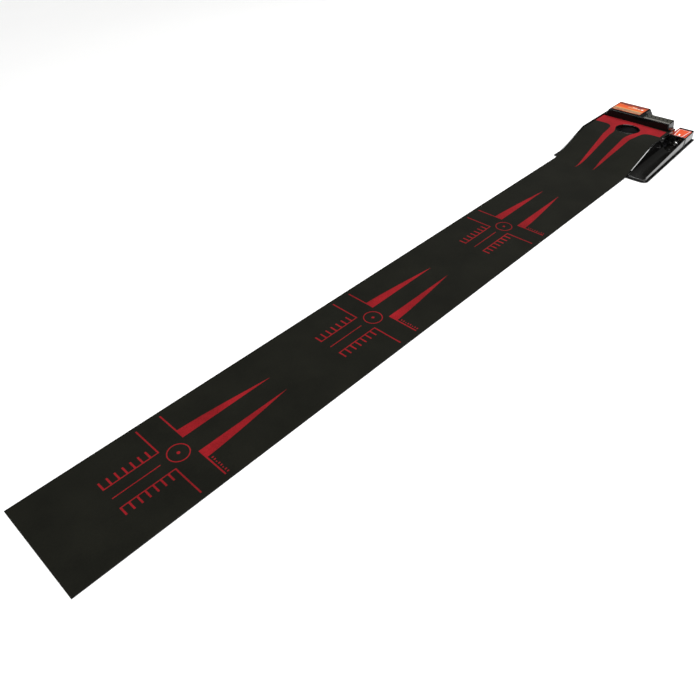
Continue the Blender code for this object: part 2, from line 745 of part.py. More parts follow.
def make_kicker(steel):
    at = kicker_stations()
    axis = (0.0, trough_centre, KICKER_HEIGHT)
    origin = (at["face"], trough_centre, KICKER_HEIGHT)
    face = at["face"]
    rod_start = face + 0.0045
    head = [
        (0.0, face),
        (HEAD_RADIUS * 0.55, face + 0.0003),
        (HEAD_RADIUS * 0.85, face + 0.0012),
        (HEAD_RADIUS, face + 0.0030),
        (HEAD_RADIUS, face + HEAD_LENGTH),
        (ROD_RADIUS + GAP, face + HEAD_LENGTH),
        (ROD_RADIUS + GAP, rod_start - GAP),
        (0.0, rod_start - GAP),
    ]
    finish(turned("kicker_head", head, "x", axis, 32, origin), steel)

    plunger = [
        (0.0, rod_start),
        (ROD_RADIUS, rod_start),
        (ROD_RADIUS, at["core_front"]),
        (PLUNGER_RADIUS, at["core_front"] + 0.001),
        (PLUNGER_RADIUS, at["core_rear"]),
        (TAIL_RADIUS, at["core_rear"] + 0.001),
        (TAIL_RADIUS, at["tail_end"]),
        (0.0, at["tail_end"]),
    ]
    finish(turned("plunger", plunger, "x", axis, 32, origin), steel)

    clip = [
        (TAIL_RADIUS + GAP, at["clip"]),
        (CLIP_RADIUS, at["clip"]),
        (CLIP_RADIUS, at["clip"] + CLIP_THICKNESS),
        (TAIL_RADIUS + GAP, at["clip"] + CLIP_THICKNESS),
    ]
    finish(turned("plunger_clip", clip, "x", axis, 24, origin), steel)


def make_return_spring(material):
    """A coil between the solenoid's rear plate and the clip, with a round wire."""
    at = kicker_stations()
    start = at["frame_rear"] + GAP + SPRING_WIRE / 2
    end = at["clip"] - GAP - SPRING_WIRE / 2
    steps = 14 * SPRING_TURNS
    sides = 6
    pitch_angle = math.atan2((end - start) / SPRING_TURNS, 2 * math.pi * SPRING_RADIUS)
    rings = []
    for k in range(steps + 1):
        turn = 2 * math.pi * SPRING_TURNS * k / steps
        along = Vector((math.sin(pitch_angle), 0.0, 0.0))
        tangent = along + Vector((0.0, -math.sin(turn), math.cos(turn))) * math.cos(pitch_angle)
        outward = Vector((0.0, math.cos(turn), math.sin(turn)))
        aside = tangent.cross(outward)
        centre = Vector((start + (end - start) * k / steps, trough_centre, KICKER_HEIGHT)) + outward * SPRING_RADIUS
        ring = []
        for i in range(sides):
            angle = 2 * math.pi * i / sides
            ring.append(centre + (outward * math.cos(angle) + aside * math.sin(angle)) * (SPRING_WIRE / 2))
        rings.append(ring)
    finish(loft("return_spring", rings, (start, trough_centre, KICKER_HEIGHT)), material, 60.0)


def make_solenoid(steel, copper):
    at = kicker_stations()
    half = COIL_RADIUS + 0.002
    y_range = (trough_centre - half, trough_centre + half)
    top = KICKER_HEIGHT + COIL_RADIUS + 0.001
    frame = box("solenoid_frame", (at["frame_front"], at["frame_rear"]), y_range, (seat, top))
    inside_x = (at["frame_front"] + FRAME_SHEET, at["frame_rear"] - FRAME_SHEET)
    room = box("room", inside_x, (y_range[0] - 0.01, y_range[1] + 0.01), (seat + FRAME_SHEET, top + 0.01))
    axis = (0.0, trough_centre, KICKER_HEIGHT)
    middle = (inside_x[0] + inside_x[1]) / 2
    front_hole = rod("front_hole", PLUNGER_RADIUS + 2 * RUNNING_GAP, (at["frame_front"] - 0.01, middle), "x", axis)
    rear_hole = rod("rear_hole", TAIL_RADIUS + RUNNING_GAP, (middle, at["frame_rear"] + 0.01), "x", axis)
    finish(cut(frame, room, front_hole, rear_hole), steel)

    bore = PLUNGER_RADIUS + RUNNING_GAP
    flange = 0.0015
    coil = [
        (bore, at["coil_front"]),
        (COIL_RADIUS, at["coil_front"]),
        (COIL_RADIUS, at["coil_front"] + flange),
        (COIL_RADIUS - 0.001, at["coil_front"] + flange),
        (COIL_RADIUS - 0.001, at["coil_rear"] - flange),
        (COIL_RADIUS, at["coil_rear"] - flange),
        (COIL_RADIUS, at["coil_rear"]),
        (bore, at["coil_rear"]),
    ]
    finish(turned("solenoid_coil", coil, "x", axis, 32), copper)


def pivot_place():
    """The trigger lever's hinge, on the face of the ball switch."""
    return (exit_rear_x - 0.0025, -wall_inside + 0.019)


def switch_ranges():
    pivot_x, pivot_y = pivot_place()
    start_x = pivot_x + 0.0014
    return (start_x, start_x + SWITCH_DEPTH), (pivot_y - SWITCH_LENGTH + 0.004, pivot_y + 0.004)


def make_ball_switch(plastic, steel):
    x_range, y_range = switch_ranges()
    pivot_x, pivot_y = pivot_place()
    level = (SWITCH_LEVEL, SWITCH_LEVEL + SWITCH_HEIGHT)
    finish(box("ball_switch", x_range, y_range, level), plastic)

    middle = (level[0] + level[1]) / 2
    origin = (pivot_x, pivot_y, middle)
    direction = Vector((-math.sin(LEVER_REST_ANGLE), -math.cos(LEVER_REST_ANGLE)))
    across = Vector((direction.y, -direction.x))
    tip = Vector((pivot_x, pivot_y)) + direction * LEVER_LENGTH
    heel = Vector((pivot_x, pivot_y)) - direction * 0.0015
    half = across * (LEVER_SHEET / 2)
    outline = [heel + half, heel - half, tip - half, tip + half]
    z_range = (middle - LEVER_HEIGHT / 2, middle + LEVER_HEIGHT / 2)
    lever = prism_along_z("trigger_lever", [tuple(p) for p in outline], z_range[0], z_range[1], origin)
    finish(lever, steel)


def battery_layout():
    """The inside of the battery box along X and Y, and the level of the cells' axes."""
    length = 2 * CELL_LENGTH + 2 * CONTACT_THICKNESS + 5 * GAP
    start_x = housing_x + 0.012
    half_width = 2 * CELL_RADIUS + 1.5 * GAP
    y_range = (BATTERY_ROW_Y - half_width, BATTERY_ROW_Y + half_width)
    return (start_x, start_x + length), y_range, plate_top + 2 * GAP + CELL_RADIUS


def make_batteries(plastic, wrap, steel):
    x_range, y_range, level = battery_layout()
    wall = BATTERY_BOX_WALL
    top = level + CELL_RADIUS + GAP
    outer_x = (x_range[0] - wall, x_range[1] + wall)
    outer_y = (y_range[0] - wall, y_range[1] + wall)
    battery_box = box("battery_box", outer_x, outer_y, (seat, top + wall))
    finish(cut(battery_box, box("bay", x_range, y_range, (0.0, top))), plastic)

    for row, side in enumerate((-1, 1)):
        y = BATTERY_ROW_Y + side * (CELL_RADIUS + GAP / 2)
        for place in range(2):
            start = x_range[0] + CONTACT_THICKNESS + 2 * GAP + place * (CELL_LENGTH + GAP)
            along = [start, start + CELL_LENGTH - NUB_LENGTH, start + CELL_LENGTH]
            profile = [
                (0.0, along[0]),
                (CELL_RADIUS - 0.0005, along[0]),
                (CELL_RADIUS, along[0] + 0.0005),
                (CELL_RADIUS, along[1] - 0.0005),
                (CELL_RADIUS - 0.0005, along[1]),
                (NUB_RADIUS, along[1]),
                (NUB_RADIUS, along[2]),
                (0.0, along[2]),
            ]
            cell = turned(f"battery_cell_{2 * row + place + 1}", profile, "x", (0.0, y, level), 24)
            finish(cell, wrap)

    near = (x_range[0] + GAP, x_range[0] + GAP + CONTACT_THICKNESS)
    far = (x_range[1] - GAP - CONTACT_THICKNESS, x_range[1] - GAP)
    z_range = (level - 0.008, level + 0.008)
    bridge_y = (BATTERY_ROW_Y - CELL_RADIUS - 0.006, BATTERY_ROW_Y + CELL_RADIUS + 0.006)
    finish(box("contact_bridge", near, bridge_y, z_range), steel)
    for name, side in (("contact_positive", -1), ("contact_negative", 1)):
        y = BATTERY_ROW_Y + side * (CELL_RADIUS + GAP / 2)
        finish(box(name, far, (y - 0.007, y + 0.007), z_range), steel)


def door_ranges():
    x_range = (battery_layout()[0][0] + 0.001, plate_end_x)
    y_range = (BATTERY_ROW_Y - DOOR_WIDTH / 2, BATTERY_ROW_Y + DOOR_WIDTH / 2)
    middle = (plate_bottom + plate_top) / 2
    tongue = (middle - DOOR_TONGUE_THICKNESS / 2, middle + DOOR_TONGUE_THICKNESS / 2)
    return x_range, y_range, tongue


def make_battery_door(material):
    x_range, y_range, tongue_z = door_ranges()
    reach = DOOR_TONGUE - GAP
    low, high = y_range
    section = [
        (low, plate_bottom + GAP),
        (high, plate_bottom + GAP),
        (high, tongue_z[0]),
        (high + reach, tongue_z[0]),
        (high + reach, tongue_z[1]),
        (high, tongue_z[1]),
        (high, plate_top),
        (low, plate_top),
        (low, tongue_z[1]),
        (low - reach, tongue_z[1]),
        (low - reach, tongue_z[0]),
        (low, tongue_z[0]),
    ]
    rings = [[(x, y, z) for y, z in section] for x in x_range]
    door = loft("battery_door", rings, (x_range[0], BATTERY_ROW_Y, plate_bottom))
    grooves = []
    for k in range(4):
        x = x_range[1] - 0.012 - 0.004 * k
        grooves.append(box("grip", (x, x + 0.0015), (low + 0.012, high - 0.012), (0.0, plate_bottom + 3 * GAP)))
    return finish(cut(door, *grooves), material)


def board_ranges():
    start_x = switch_ranges()[0][1] + 0.004
    middle_y = -0.066
    return (start_x, start_x + BOARD_SIZE[0]), (middle_y - BOARD_SIZE[1] / 2, middle_y + BOARD_SIZE[1] / 2)


def board_post_places():
    x_range, y_range = board_ranges()
    return [(x, y) for x in (x_range[0] + 0.005, x_range[1] - 0.005) for y in (y_range[0] + 0.005, y_range[1] - 0.005)]


def make_circuit_board(board_material, can_material):
    x_range, y_range = board_ranges()
    top = BOARD_LEVEL + BOARD_SIZE[2]
    finish(box("circuit_board", x_range, y_range, (BOARD_LEVEL, top)), board_material)
    place = (x_range[0] + 0.015, y_range[0] + 0.018, 0.0)
    start = top + GAP
    can = [
        (0.0, start),
        (CAPACITOR_RADIUS, start),
        (CAPACITOR_RADIUS, start + CAPACITOR_HEIGHT - 0.001),
        (CAPACITOR_RADIUS - 0.001, start + CAPACITOR_HEIGHT),
        (0.0, start + CAPACITOR_HEIGHT),
    ]
    finish(turned("capacitor", can, "z", place, 24), can_material)


def make_power_inlet(material):
    start = rear_x + GAP
    profile = [
        (INLET_BORE, start + 0.0015),
        (INLET_FLANGE_RADIUS, start + 0.0015),
        (INLET_FLANGE_RADIUS, start),
        (INLET_RADIUS, start),
        (INLET_RADIUS, start - 0.014),
        (0.0, start - 0.014),
        (0.0, start - 0.001),
        (0.0008, start - 0.001),
        (0.0008, start - 0.010),
        (INLET_BORE, start - 0.010),
    ]
    finish(turned("power_inlet", profile, "x", (0.0, INLET_Y, INLET_LEVEL), 24), material)


def bezel_size():
    """Half the length and half the height of the power switch's body in the back wall."""
    return ROCKER_HALF[0] + 0.0030, ROCKER_HALF[1] + 0.0025


def make_power_switch(material, rocker_material):
    half_length, half_height = bezel_size()
    lip = 0.0012
    start = rear_x + GAP
    flange = box(
        "switch_bezel",
        (start, start + 0.0015),
        (ROCKER_Y - half_length - lip, ROCKER_Y + half_length + lip),
        (ROCKER_LEVEL - half_height - lip, ROCKER_LEVEL + half_height + lip),
    )
    body = box(
        "switch_case",
        (start - 0.014, start + 0.0005),
        (ROCKER_Y - half_length, ROCKER_Y + half_length),
        (ROCKER_LEVEL - half_height, ROCKER_LEVEL + half_height),
    )
    room_y = ROCKER_HALF[0] + 0.0011
    room_z = ROCKER_HALF[1] + GAP
    room = box(
        "room",
        (start - 0.0095, start + 0.01),
        (ROCKER_Y - room_y, ROCKER_Y + room_y),
        (ROCKER_LEVEL - room_z, ROCKER_LEVEL + room_z),
    )
    finish(cut(join(flange, body), room), material)

    pivot = Vector((start - 0.0030, ROCKER_Y))
    shape = [(-0.0035, -0.0042), (-0.0035, 0.0042), (0.0035, ROCKER_HALF[0]), (0.0018, 0.0), (0.0035, -ROCKER_HALF[0])]
    turn_cos = math.cos(ROCKER_TILT)
    turn_sin = math.sin(ROCKER_TILT)
    outline = []
    for out, along in shape:
        x = pivot.x + out * turn_cos - along * turn_sin
        y = pivot.y + out * turn_sin + along * turn_cos
        outline.append((x, y))
    z_range = (ROCKER_LEVEL - ROCKER_HALF[1], ROCKER_LEVEL + ROCKER_HALF[1])
    origin = (pivot.x, pivot.y, ROCKER_LEVEL)
    finish(prism_along_z("power_rocker", outline, z_range[0], z_range[1], origin), rocker_material)


def make_screws(material):
    for number, (x, y) in enumerate(screw_places, 1):
        bottom = plate_bottom + GAP
        head_top = plate_bottom + 0.0013
        profile = [
            (0.0, bottom + 0.0006),
            (0.0012, bottom + 0.0006),
            (0.0012, bottom),
            (SCREW_HEAD, bottom),
            (SCREW_HEAD, head_top),
            (SCREW_SHANK, head_top),
            (SCREW_SHANK, seat + SCREW_LENGTH - 2 * GAP),
            (0.0, seat + SCREW_LENGTH - 2 * GAP),
        ]
        screw = turned(f"base_screw_{number}", profile, "z", (x, y, 0.0), 16)
        finish(screw, material)


def make_feet(material):
    for number, (x, y) in enumerate(foot_places, 1):
        soft = 0.0004
        profile = [
            (0.0, 0.0),
            (FOOT_RADIUS - soft, 0.0),
            (FOOT_RADIUS, soft),
            (FOOT_RADIUS, FOOT_THICKNESS),
            (0.0, FOOT_THICKNESS),
        ]
        finish(turned(f"rubber_foot_{number}", profile, "z", (x, y, 0.0), 24), material)


def centre_object():
    """Moves the origin to the middle of the object's underside."""
    side_y = tapered(MAT_FLAT_LENGTH + FRONT_RIGHT_RADIUS, flange_right)[1]
    shift = Vector((-plate_end_x / 2, -(flange_left + side_y) / 2, 0.0))
    for piece in bpy.context.scene.objects:
        piece.location = piece.location + shift


def main():
    for old in list(bpy.data.objects):
        bpy.data.objects.remove(old)

    felt = make_material("felt", (0.012, 0.011, 0.010), 0.95)
    gloss_black = make_material("gloss_black", (0.012, 0.012, 0.013), 0.22)
    satin_black = make_material("satin_black", (0.020, 0.020, 0.021), 0.45)
    label_orange = make_material("label_orange", (0.70, 0.13, 0.03), 0.35)
    rubber = make_material("rubber", (0.025, 0.025, 0.025), 0.80)
    steel = make_material("steel", (0.62, 0.62, 0.60), 0.28, 1.0)
    copper = make_material("copper_winding", (0.50, 0.16, 0.06), 0.40, 0.6)
    board_green = make_material("board_green", (0.02, 0.16, 0.06), 0.45)
    cell_wrap = make_material("cell_wrap", (0.10, 0.10, 0.12), 0.35)
    rocker_red = make_material("rocker_red", (0.45, 0.02, 0.02), 0.35)

    make_mat(felt)
    make_base_plate(satin_black)
    make_upper_shell(gloss_black)
    make_return_trough(gloss_black)
    make_ball_chute(satin_black)
    make_cup_ring(gloss_black)
    make_housing_cover(gloss_black)
    make_launcher_cover(gloss_black)
    make_labels(label_orange)
    make_kicker(steel)
    make_return_spring(steel)
    make_solenoid(steel, copper)
    make_ball_switch(satin_black, steel)
    make_batteries(satin_black, cell_wrap, steel)
    make_battery_door(satin_black)
    make_circuit_board(board_green, steel)
    make_power_inlet(satin_black)
    make_power_switch(satin_black, rocker_red)
    make_screws(steel)
    make_feet(rubber)
    centre_object()


main()
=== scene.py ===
import math

import bmesh
import bpy
import numpy as np
from mathutils import Matrix, Vector


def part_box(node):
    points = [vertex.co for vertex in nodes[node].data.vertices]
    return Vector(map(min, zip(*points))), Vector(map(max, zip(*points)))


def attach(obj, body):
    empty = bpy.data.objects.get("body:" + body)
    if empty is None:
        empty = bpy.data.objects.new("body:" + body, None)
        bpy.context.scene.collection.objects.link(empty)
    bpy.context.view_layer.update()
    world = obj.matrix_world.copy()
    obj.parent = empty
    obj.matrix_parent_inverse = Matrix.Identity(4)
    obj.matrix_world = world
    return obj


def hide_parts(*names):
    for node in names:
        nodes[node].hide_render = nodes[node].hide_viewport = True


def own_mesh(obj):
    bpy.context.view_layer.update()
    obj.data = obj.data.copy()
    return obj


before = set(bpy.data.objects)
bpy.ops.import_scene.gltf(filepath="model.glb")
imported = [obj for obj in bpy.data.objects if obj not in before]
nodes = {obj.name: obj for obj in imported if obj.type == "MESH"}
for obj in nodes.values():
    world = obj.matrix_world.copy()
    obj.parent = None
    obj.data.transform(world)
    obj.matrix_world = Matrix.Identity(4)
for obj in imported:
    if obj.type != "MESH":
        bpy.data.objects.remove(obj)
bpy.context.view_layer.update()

matLow, matHigh = (Vector(corner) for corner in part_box("mat"))
cupLow, cupHigh = (Vector(corner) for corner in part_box("cup_ring"))
centreY = (matLow.y + matHigh.y) / 2
cupX = (cupLow.x + cupHigh.x) / 2


# Helpers that turn arrays of points into meshes
def meshFrom(name, points, faces):
    mesh = bpy.data.meshes.new(name)
    mesh.from_pydata(np.asarray(points, dtype=float).reshape(-1, 3).tolist(), [], faces)
    piece = bpy.data.objects.new(name, mesh)
    bpy.context.scene.collection.objects.link(piece)
    return piece


# Quads over a grid of points: index = row * columns + column, and closed columns wrap round
def gridFaces(rows, columns, wrap=False):
    across = columns if wrap else columns - 1
    i, j = np.meshgrid(np.arange(rows - 1), np.arange(across), indexing="ij")
    here = i * columns + j
    beside = i * columns + (j + 1) % columns
    return np.stack([here, beside, beside + columns, here + columns], -1).reshape(-1, 4).tolist()


# A closed body from rings of points, (rows, columns, 3), with a cap over the first ring and over the last
def tube(name, rings):
    rows, columns = rings.shape[:2]
    faces = gridFaces(rows, columns, wrap=True)
    faces.append(list(range(columns))[::-1])
    faces.append(list(range((rows - 1) * columns, rows * columns)))
    return pointOut(meshFrom(name, rings, faces))


# Merges doubles, then turns every face outwards
def pointOut(piece):
    work = bmesh.new()
    work.from_mesh(piece.data)
    bmesh.ops.remove_doubles(work, verts=work.verts, dist=1e-7)
    bmesh.ops.recalc_face_normals(work, faces=work.faces)
    work.to_mesh(piece.data)
    work.free()
    return piece


# Applies the piece's modifiers
def bake(piece):
    mesh = bpy.data.meshes.new_from_object(piece.evaluated_get(bpy.context.evaluated_depsgraph_get()))
    piece.modifiers.clear()
    piece.data = mesh
    return piece


# Smooth shading with sharp edges above an angle; even keeps the broad faces flat beside their rounded edges
def smooth(piece, degrees=35.0, even=False):
    piece.data.shade_smooth()
    piece.data.set_sharp_from_angle(angle=math.radians(degrees))
    if even:
        normals = piece.modifiers.new("evenNormals", "WEIGHTED_NORMAL")
        normals.weight = 80
        normals.keep_sharp = True
        bake(piece)
    return piece


def bevel(piece, width, segments=2, degrees=32.0):
    edge = piece.modifiers.new("edge", "BEVEL")
    edge.width = width
    edge.segments = segments
    edge.limit_method = "ANGLE"
    edge.angle_limit = math.radians(degrees)
    edge.use_clamp_overlap = True
    return bake(piece)


def joined(name, pieces):
    points, faces, start = [], [], 0
    for piece in pieces:
        points += [v.co[:] for v in piece.data.vertices]
        faces += [[start + i for i in p.vertices] for p in piece.data.polygons]
        start += len(piece.data.vertices)
        bpy.data.objects.remove(piece)
    return meshFrom(name, points, faces)


# Gives a piece its material, shading and body
def place(piece, material, body="base", degrees=35.0, even=False):
    piece.data.materials.clear()
    piece.data.materials.append(material)
    smooth(piece, degrees, even)
    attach(piece, body)
    return piece


# Node groups: each puts out masks or heights that vary over the surface
def newGroup(name, inputs, outputs):
    group = bpy.data.node_groups.new(name, "ShaderNodeTree")
    for label, value in inputs.items():
        socket = group.interface.new_socket(label, in_out="INPUT", socket_type="NodeSocketFloat")
        socket.default_value = value
    for label in outputs:
        group.interface.new_socket(label, in_out="OUTPUT", socket_type="NodeSocketFloat")
    return group, group.nodes.new("NodeGroupInput"), group.nodes.new("NodeGroupOutput")


def addNode(tree, kind, **settings):
    node = tree.nodes.new(kind)
    for key, value in settings.items():
        setattr(node, key, value)
    return node


def noiseOf(tree, vector, scale, detail=3.0, roughness=0.55):
    noise = addNode(tree, "ShaderNodeTexNoise")
    noise.inputs["Scale"].default_value = scale
    noise.inputs["Detail"].default_value = detail
    noise.inputs["Roughness"].default_value = roughness
    tree.links.new(vector, noise.inputs["Vector"])
    return noise


def mathOf(tree, operation, a, b):
    node = addNode(tree, "ShaderNodeMath", operation=operation)
    for socket, value in zip(node.inputs, (a, b)):
        if isinstance(value, (int, float)):
            socket.default_value = value
        else:
            tree.links.new(value, socket)
    return node.outputs[0]


def rangeOf(tree, value, low, high, toLow=0.0, toHigh=1.0):
    node = addNode(tree, "ShaderNodeMapRange")
    tree.links.new(value, node.inputs["Value"])
    for label, number in zip(("From Min", "From Max", "To Min", "To Max"), (low, high, toLow, toHigh)):
        node.inputs[label].default_value = number
    return node.outputs["Result"]


# Felt: short matted fibres lying in two directions, with soft clumps, and a slow change of nap whose light
# and dark patches are painted sheen
def feltGroup():
    group, start, end = newGroup("feltNapAndSheen", {"Fibre": 1100.0, "Clump": 160.0}, ["Height", "Speckle", "NapSheen"])
    place3 = addNode(group, "ShaderNodeTexCoord").outputs["Object"]
    fibres = []
    for turn, stretch in ((0.5, 0.18), (-0.9, 0.22), (2.0, 0.3)):
        mapping = addNode(group, "ShaderNodeMapping")
        mapping.inputs["Rotation"].default_value = (0.0, 0.0, turn)
        mapping.inputs["Scale"].default_value = (stretch, 1.0, 1.0)
        group.links.new(place3, mapping.inputs["Vector"])
        noise = noiseOf(group, mapping.outputs["Vector"], 1.0, 2.0)
        group.links.new(start.outputs["Fibre"], noise.inputs["Scale"])
        fibres.append(noise.outputs["Fac"])
    matted = mathOf(group, "MAXIMUM", mathOf(group, "MAXIMUM", fibres[0], fibres[1]), fibres[2])
    clump = noiseOf(group, place3, 1.0, 4.0)
    group.links.new(start.outputs["Clump"], clump.inputs["Scale"])
    # The slow nap noise is painted sheen: it lightens the felt in broad patches as light on its nap would
    napAndSheen = noiseOf(group, place3, 7.0, 3.0)
    height = mathOf(group, "ADD", matted, mathOf(group, "MULTIPLY", clump.outputs["Fac"], 0.5))
    group.links.new(height, end.inputs["Height"])
    group.links.new(rangeOf(group, matted, 0.45, 0.75), end.inputs["Speckle"])
    group.links.new(rangeOf(group, napAndSheen.outputs["Fac"], 0.35, 0.65), end.inputs["NapSheen"])
    return group


# Moulded plastic: faint flow marks, a little dust and hairline rubs; where a finish gives these marks a
# light colour, as on the grained ledge panel, they are painted sheen
def mouldGroup():
    group, start, end = newGroup("mouldedSkin", {"Grain": 900.0, "Flow": 14.0}, ["Height", "Rub", "Dust"])
    place3 = addNode(group, "ShaderNodeTexCoord").outputs["Object"]
    grain = noiseOf(group, place3, 1.0, 2.0)
    group.links.new(start.outputs["Grain"], grain.inputs["Scale"])
    flow = noiseOf(group, place3, 1.0, 2.0)
    group.links.new(start.outputs["Flow"], flow.inputs["Scale"])
    mapping = addNode(group, "ShaderNodeMapping")
    mapping.inputs["Scale"].default_value = (1.0, 14.0, 6.0)
    mapping.inputs["Rotation"].default_value = (0.0, 0.0, 0.12)
    group.links.new(place3, mapping.inputs["Vector"])
    rub = noiseOf(group, mapping.outputs["Vector"], 38.0, 6.0, 0.7)
    dust = noiseOf(group, place3, 420.0, 5.0, 0.75)
    height = mathOf(group, "ADD", mathOf(group, "MULTIPLY", grain.outputs["Fac"], 0.3), flow.outputs["Fac"])
    group.links.new(height, end.inputs["Height"])
    group.links.new(rangeOf(group, rub.outputs["Fac"], 0.50, 0.72), end.inputs["Rub"])
    group.links.new(rangeOf(group, dust.outputs["Fac"], 0.62, 0.78), end.inputs["Dust"])
    return group


feltNapAndSheen = feltGroup()
mouldedSkin = mouldGroup()


def newMaterial(name, **constants):
    material = bpy.data.materials.new(name)
    material.use_nodes = True
    shader = material.node_tree.nodes["Principled BSDF"]
    for label, value in constants.items():
        shader.inputs[label.replace("_", " ")].default_value = value
    return material, material.node_tree, shader


def useGroup(tree, group, **values):
    node = addNode(tree, "ShaderNodeGroup")
    node.node_tree = group
    for label, value in values.items():
        node.inputs[label].default_value = value
    return node


def blendColours(tree, mask, colours, shares=None):
    ramp = addNode(tree, "ShaderNodeValToRGB")
    tree.links.new(mask, ramp.inputs["Fac"])
    elements = ramp.color_ramp.elements
    for element, colour in zip(elements, (colours[0], colours[-1])):
        element.color = (*colour, 1.0)
    for k, colour in enumerate(colours[1:-1], 1):
        element = elements.new((shares or np.linspace(0, 1, len(colours)))[k])
        element.color = (*colour, 1.0)
    return ramp.outputs["Color"]


def bumpOf(tree, shader, height, strength, distance):
    node = addNode(tree, "ShaderNodeBump")
    node.inputs["Strength"].default_value = strength
    node.inputs["Distance"].default_value = distance
    tree.links.new(height, node.inputs["Height"])
    tree.links.new(node.outputs["Normal"], shader.inputs["Normal"])


def feltMaterial(name, dark, light, worn=None, strength=0.55):
    material, tree, shader = newMaterial(name, Roughness=0.92, Specular_IOR_Level=0.1)
    napAndSheen = useGroup(tree, feltNapAndSheen)
    # The colour mask mixes the fibres' own speckle with the nap's painted sheen
    speckle = mathOf(tree, "MULTIPLY", napAndSheen.outputs["Speckle"], 0.6)
    mask = mathOf(tree, "ADD", speckle, mathOf(tree, "MULTIPLY", napAndSheen.outputs["NapSheen"], 0.4))
    colours = [dark, light] if worn is None else [worn, dark, light]
    shares = None if worn is None else [0.0, 0.16, 1.0]
    tree.links.new(blendColours(tree, mask, colours, shares), shader.inputs["Base Color"])
    bumpOf(tree, shader, napAndSheen.outputs["Height"], strength, 0.0006)
    return material


def plasticMaterial(
    name, colour, rubbedAndSheen, rough, roughSpread=0.12,
    coat=0.0, level=0.5, strength=0.06, grain=900.0,
):
    finish = {"Specular_IOR_Level": level, "Coat_Weight": coat, "Coat_Roughness": 0.06}
    material, tree, shader = newMaterial(name, **finish)
    skin = useGroup(tree, mouldedSkin, Grain=grain)
    rubsAndSheen = mathOf(tree, "MULTIPLY", skin.outputs["Rub"], 0.5)
    marksAndSheen = mathOf(tree, "ADD", rubsAndSheen, mathOf(tree, "MULTIPLY", skin.outputs["Dust"], 0.5))
    # For the grained ledge panel and the ledge rim this second colour is painted sheen and painted
    # highlight, not rubs
    tree.links.new(blendColours(tree, marksAndSheen, [colour, rubbedAndSheen]), shader.inputs["Base Color"])
    tree.links.new(rangeOf(tree, marksAndSheen, 0.0, 1.0, rough, rough + roughSpread), shader.inputs["Roughness"])
    bumpOf(tree, shader, skin.outputs["Height"], strength, 0.0006)
    return material


def metalMaterial(name, bright, dull, rough):
    material, tree, shader = newMaterial(name, Metallic=1.0)
    skin = useGroup(tree, mouldedSkin, Grain=1600.0)
    tree.links.new(blendColours(tree, skin.outputs["Rub"], [bright, dull]), shader.inputs["Base Color"])
    roughness = rangeOf(tree, skin.outputs["Rub"], 0.0, 1.0, rough, rough + 0.2)
    tree.links.new(roughness, shader.inputs["Roughness"])
    bumpOf(tree, shader, skin.outputs["Height"], 0.08, 0.0004)
    return material


# Finishes: a colour, then the colour where it is rubbed or dusty and, on the felt and the grained panel,
# where painted sheen lies (the ledge rim's grey is painted highlight in both colours), and then the
# roughness
blackFelt = feltMaterial("blackFelt", (0.0038, 0.0040, 0.0026), (0.0098, 0.0098, 0.0066))
redInk = feltMaterial("redInk", (0.140, 0.0048, 0.0068), (0.310, 0.0105, 0.0155), worn=(0.045, 0.009, 0.006))
matBackingRubber = plasticMaterial(
    "matBackingRubber", (0.008, 0.008, 0.008), (0.020, 0.020, 0.020),
    0.75, strength=0.4, grain=500.0,
)
glossBlack = plasticMaterial(
    "glossBlack", (0.0035, 0.0035, 0.0034), (0.0070, 0.0070, 0.0066),
    0.10, roughSpread=0.08, strength=0.03,
)
deepBlack = plasticMaterial(
    "deepBlack", (0.0025, 0.0025, 0.0024), (0.0060, 0.0060, 0.0056),
    0.16, roughSpread=0.10, level=0.16, strength=0.05,
)
troughBlack = plasticMaterial(
    "troughBlack", (0.0030, 0.0029, 0.0025), (0.0120, 0.0110, 0.0085),
    0.15, roughSpread=0.12, strength=1.0, grain=120.0,
)
# Grey with lighter blobs: painted sheen on the housing's black ledge top, over a real grain
sheenGrainBlack = plasticMaterial(
    "sheenGrainBlack", (0.024, 0.024, 0.017), (0.110, 0.105, 0.080),
    0.50, level=0.2, strength=0.5, grain=260.0,
)
# Light grey in both colours: a painted highlight, worn by the rim along the housing's front top edge
highlightGrey = plasticMaterial(
    "highlightGrey", (0.210, 0.200, 0.172), (0.420, 0.400, 0.350),
    0.40, strength=0.3, grain=300.0,
)
satinBlack = plasticMaterial("satinBlack", (0.010, 0.010, 0.011), (0.020, 0.020, 0.021), 0.42, strength=0.25)
rubberBlack = plasticMaterial(
    "rubberBlack", (0.012, 0.012, 0.012), (0.030, 0.030, 0.030),
    0.70, strength=0.35,
)
zincSteel = metalMaterial("zincSteel", (0.70, 0.70, 0.68), (0.48, 0.48, 0.46), 0.16)
copperWire = metalMaterial("copperWire", (0.62, 0.24, 0.10), (0.40, 0.14, 0.06), 0.30)
boardGreen = plasticMaterial("boardGreen", (0.010, 0.120, 0.040), (0.020, 0.180, 0.070), 0.35)
cellWrap = plasticMaterial("cellWrap", (0.020, 0.020, 0.026), (0.055, 0.050, 0.045), 0.28, coat=0.4)
rockerRed = plasticMaterial("rockerRed", (0.420, 0.012, 0.012), (0.520, 0.035, 0.030), 0.25, coat=0.5)
filmOrange = plasticMaterial("filmOrange", (0.540, 0.058, 0.014), (0.660, 0.140, 0.036), 0.40, level=0.2)
filmRed = plasticMaterial("filmRed", (0.340, 0.013, 0.009), (0.420, 0.028, 0.018), 0.40, level=0.2)
filmDark = plasticMaterial("filmDark", (0.150, 0.008, 0.008), (0.240, 0.020, 0.016), 0.35)
filmSand = plasticMaterial("filmSand", (0.560, 0.360, 0.200), (0.680, 0.480, 0.290), 0.30, coat=0.6)
filmWhite = plasticMaterial("filmWhite", (0.820, 0.800, 0.760), (0.900, 0.890, 0.860), 0.28, coat=0.6)
print("materials made")


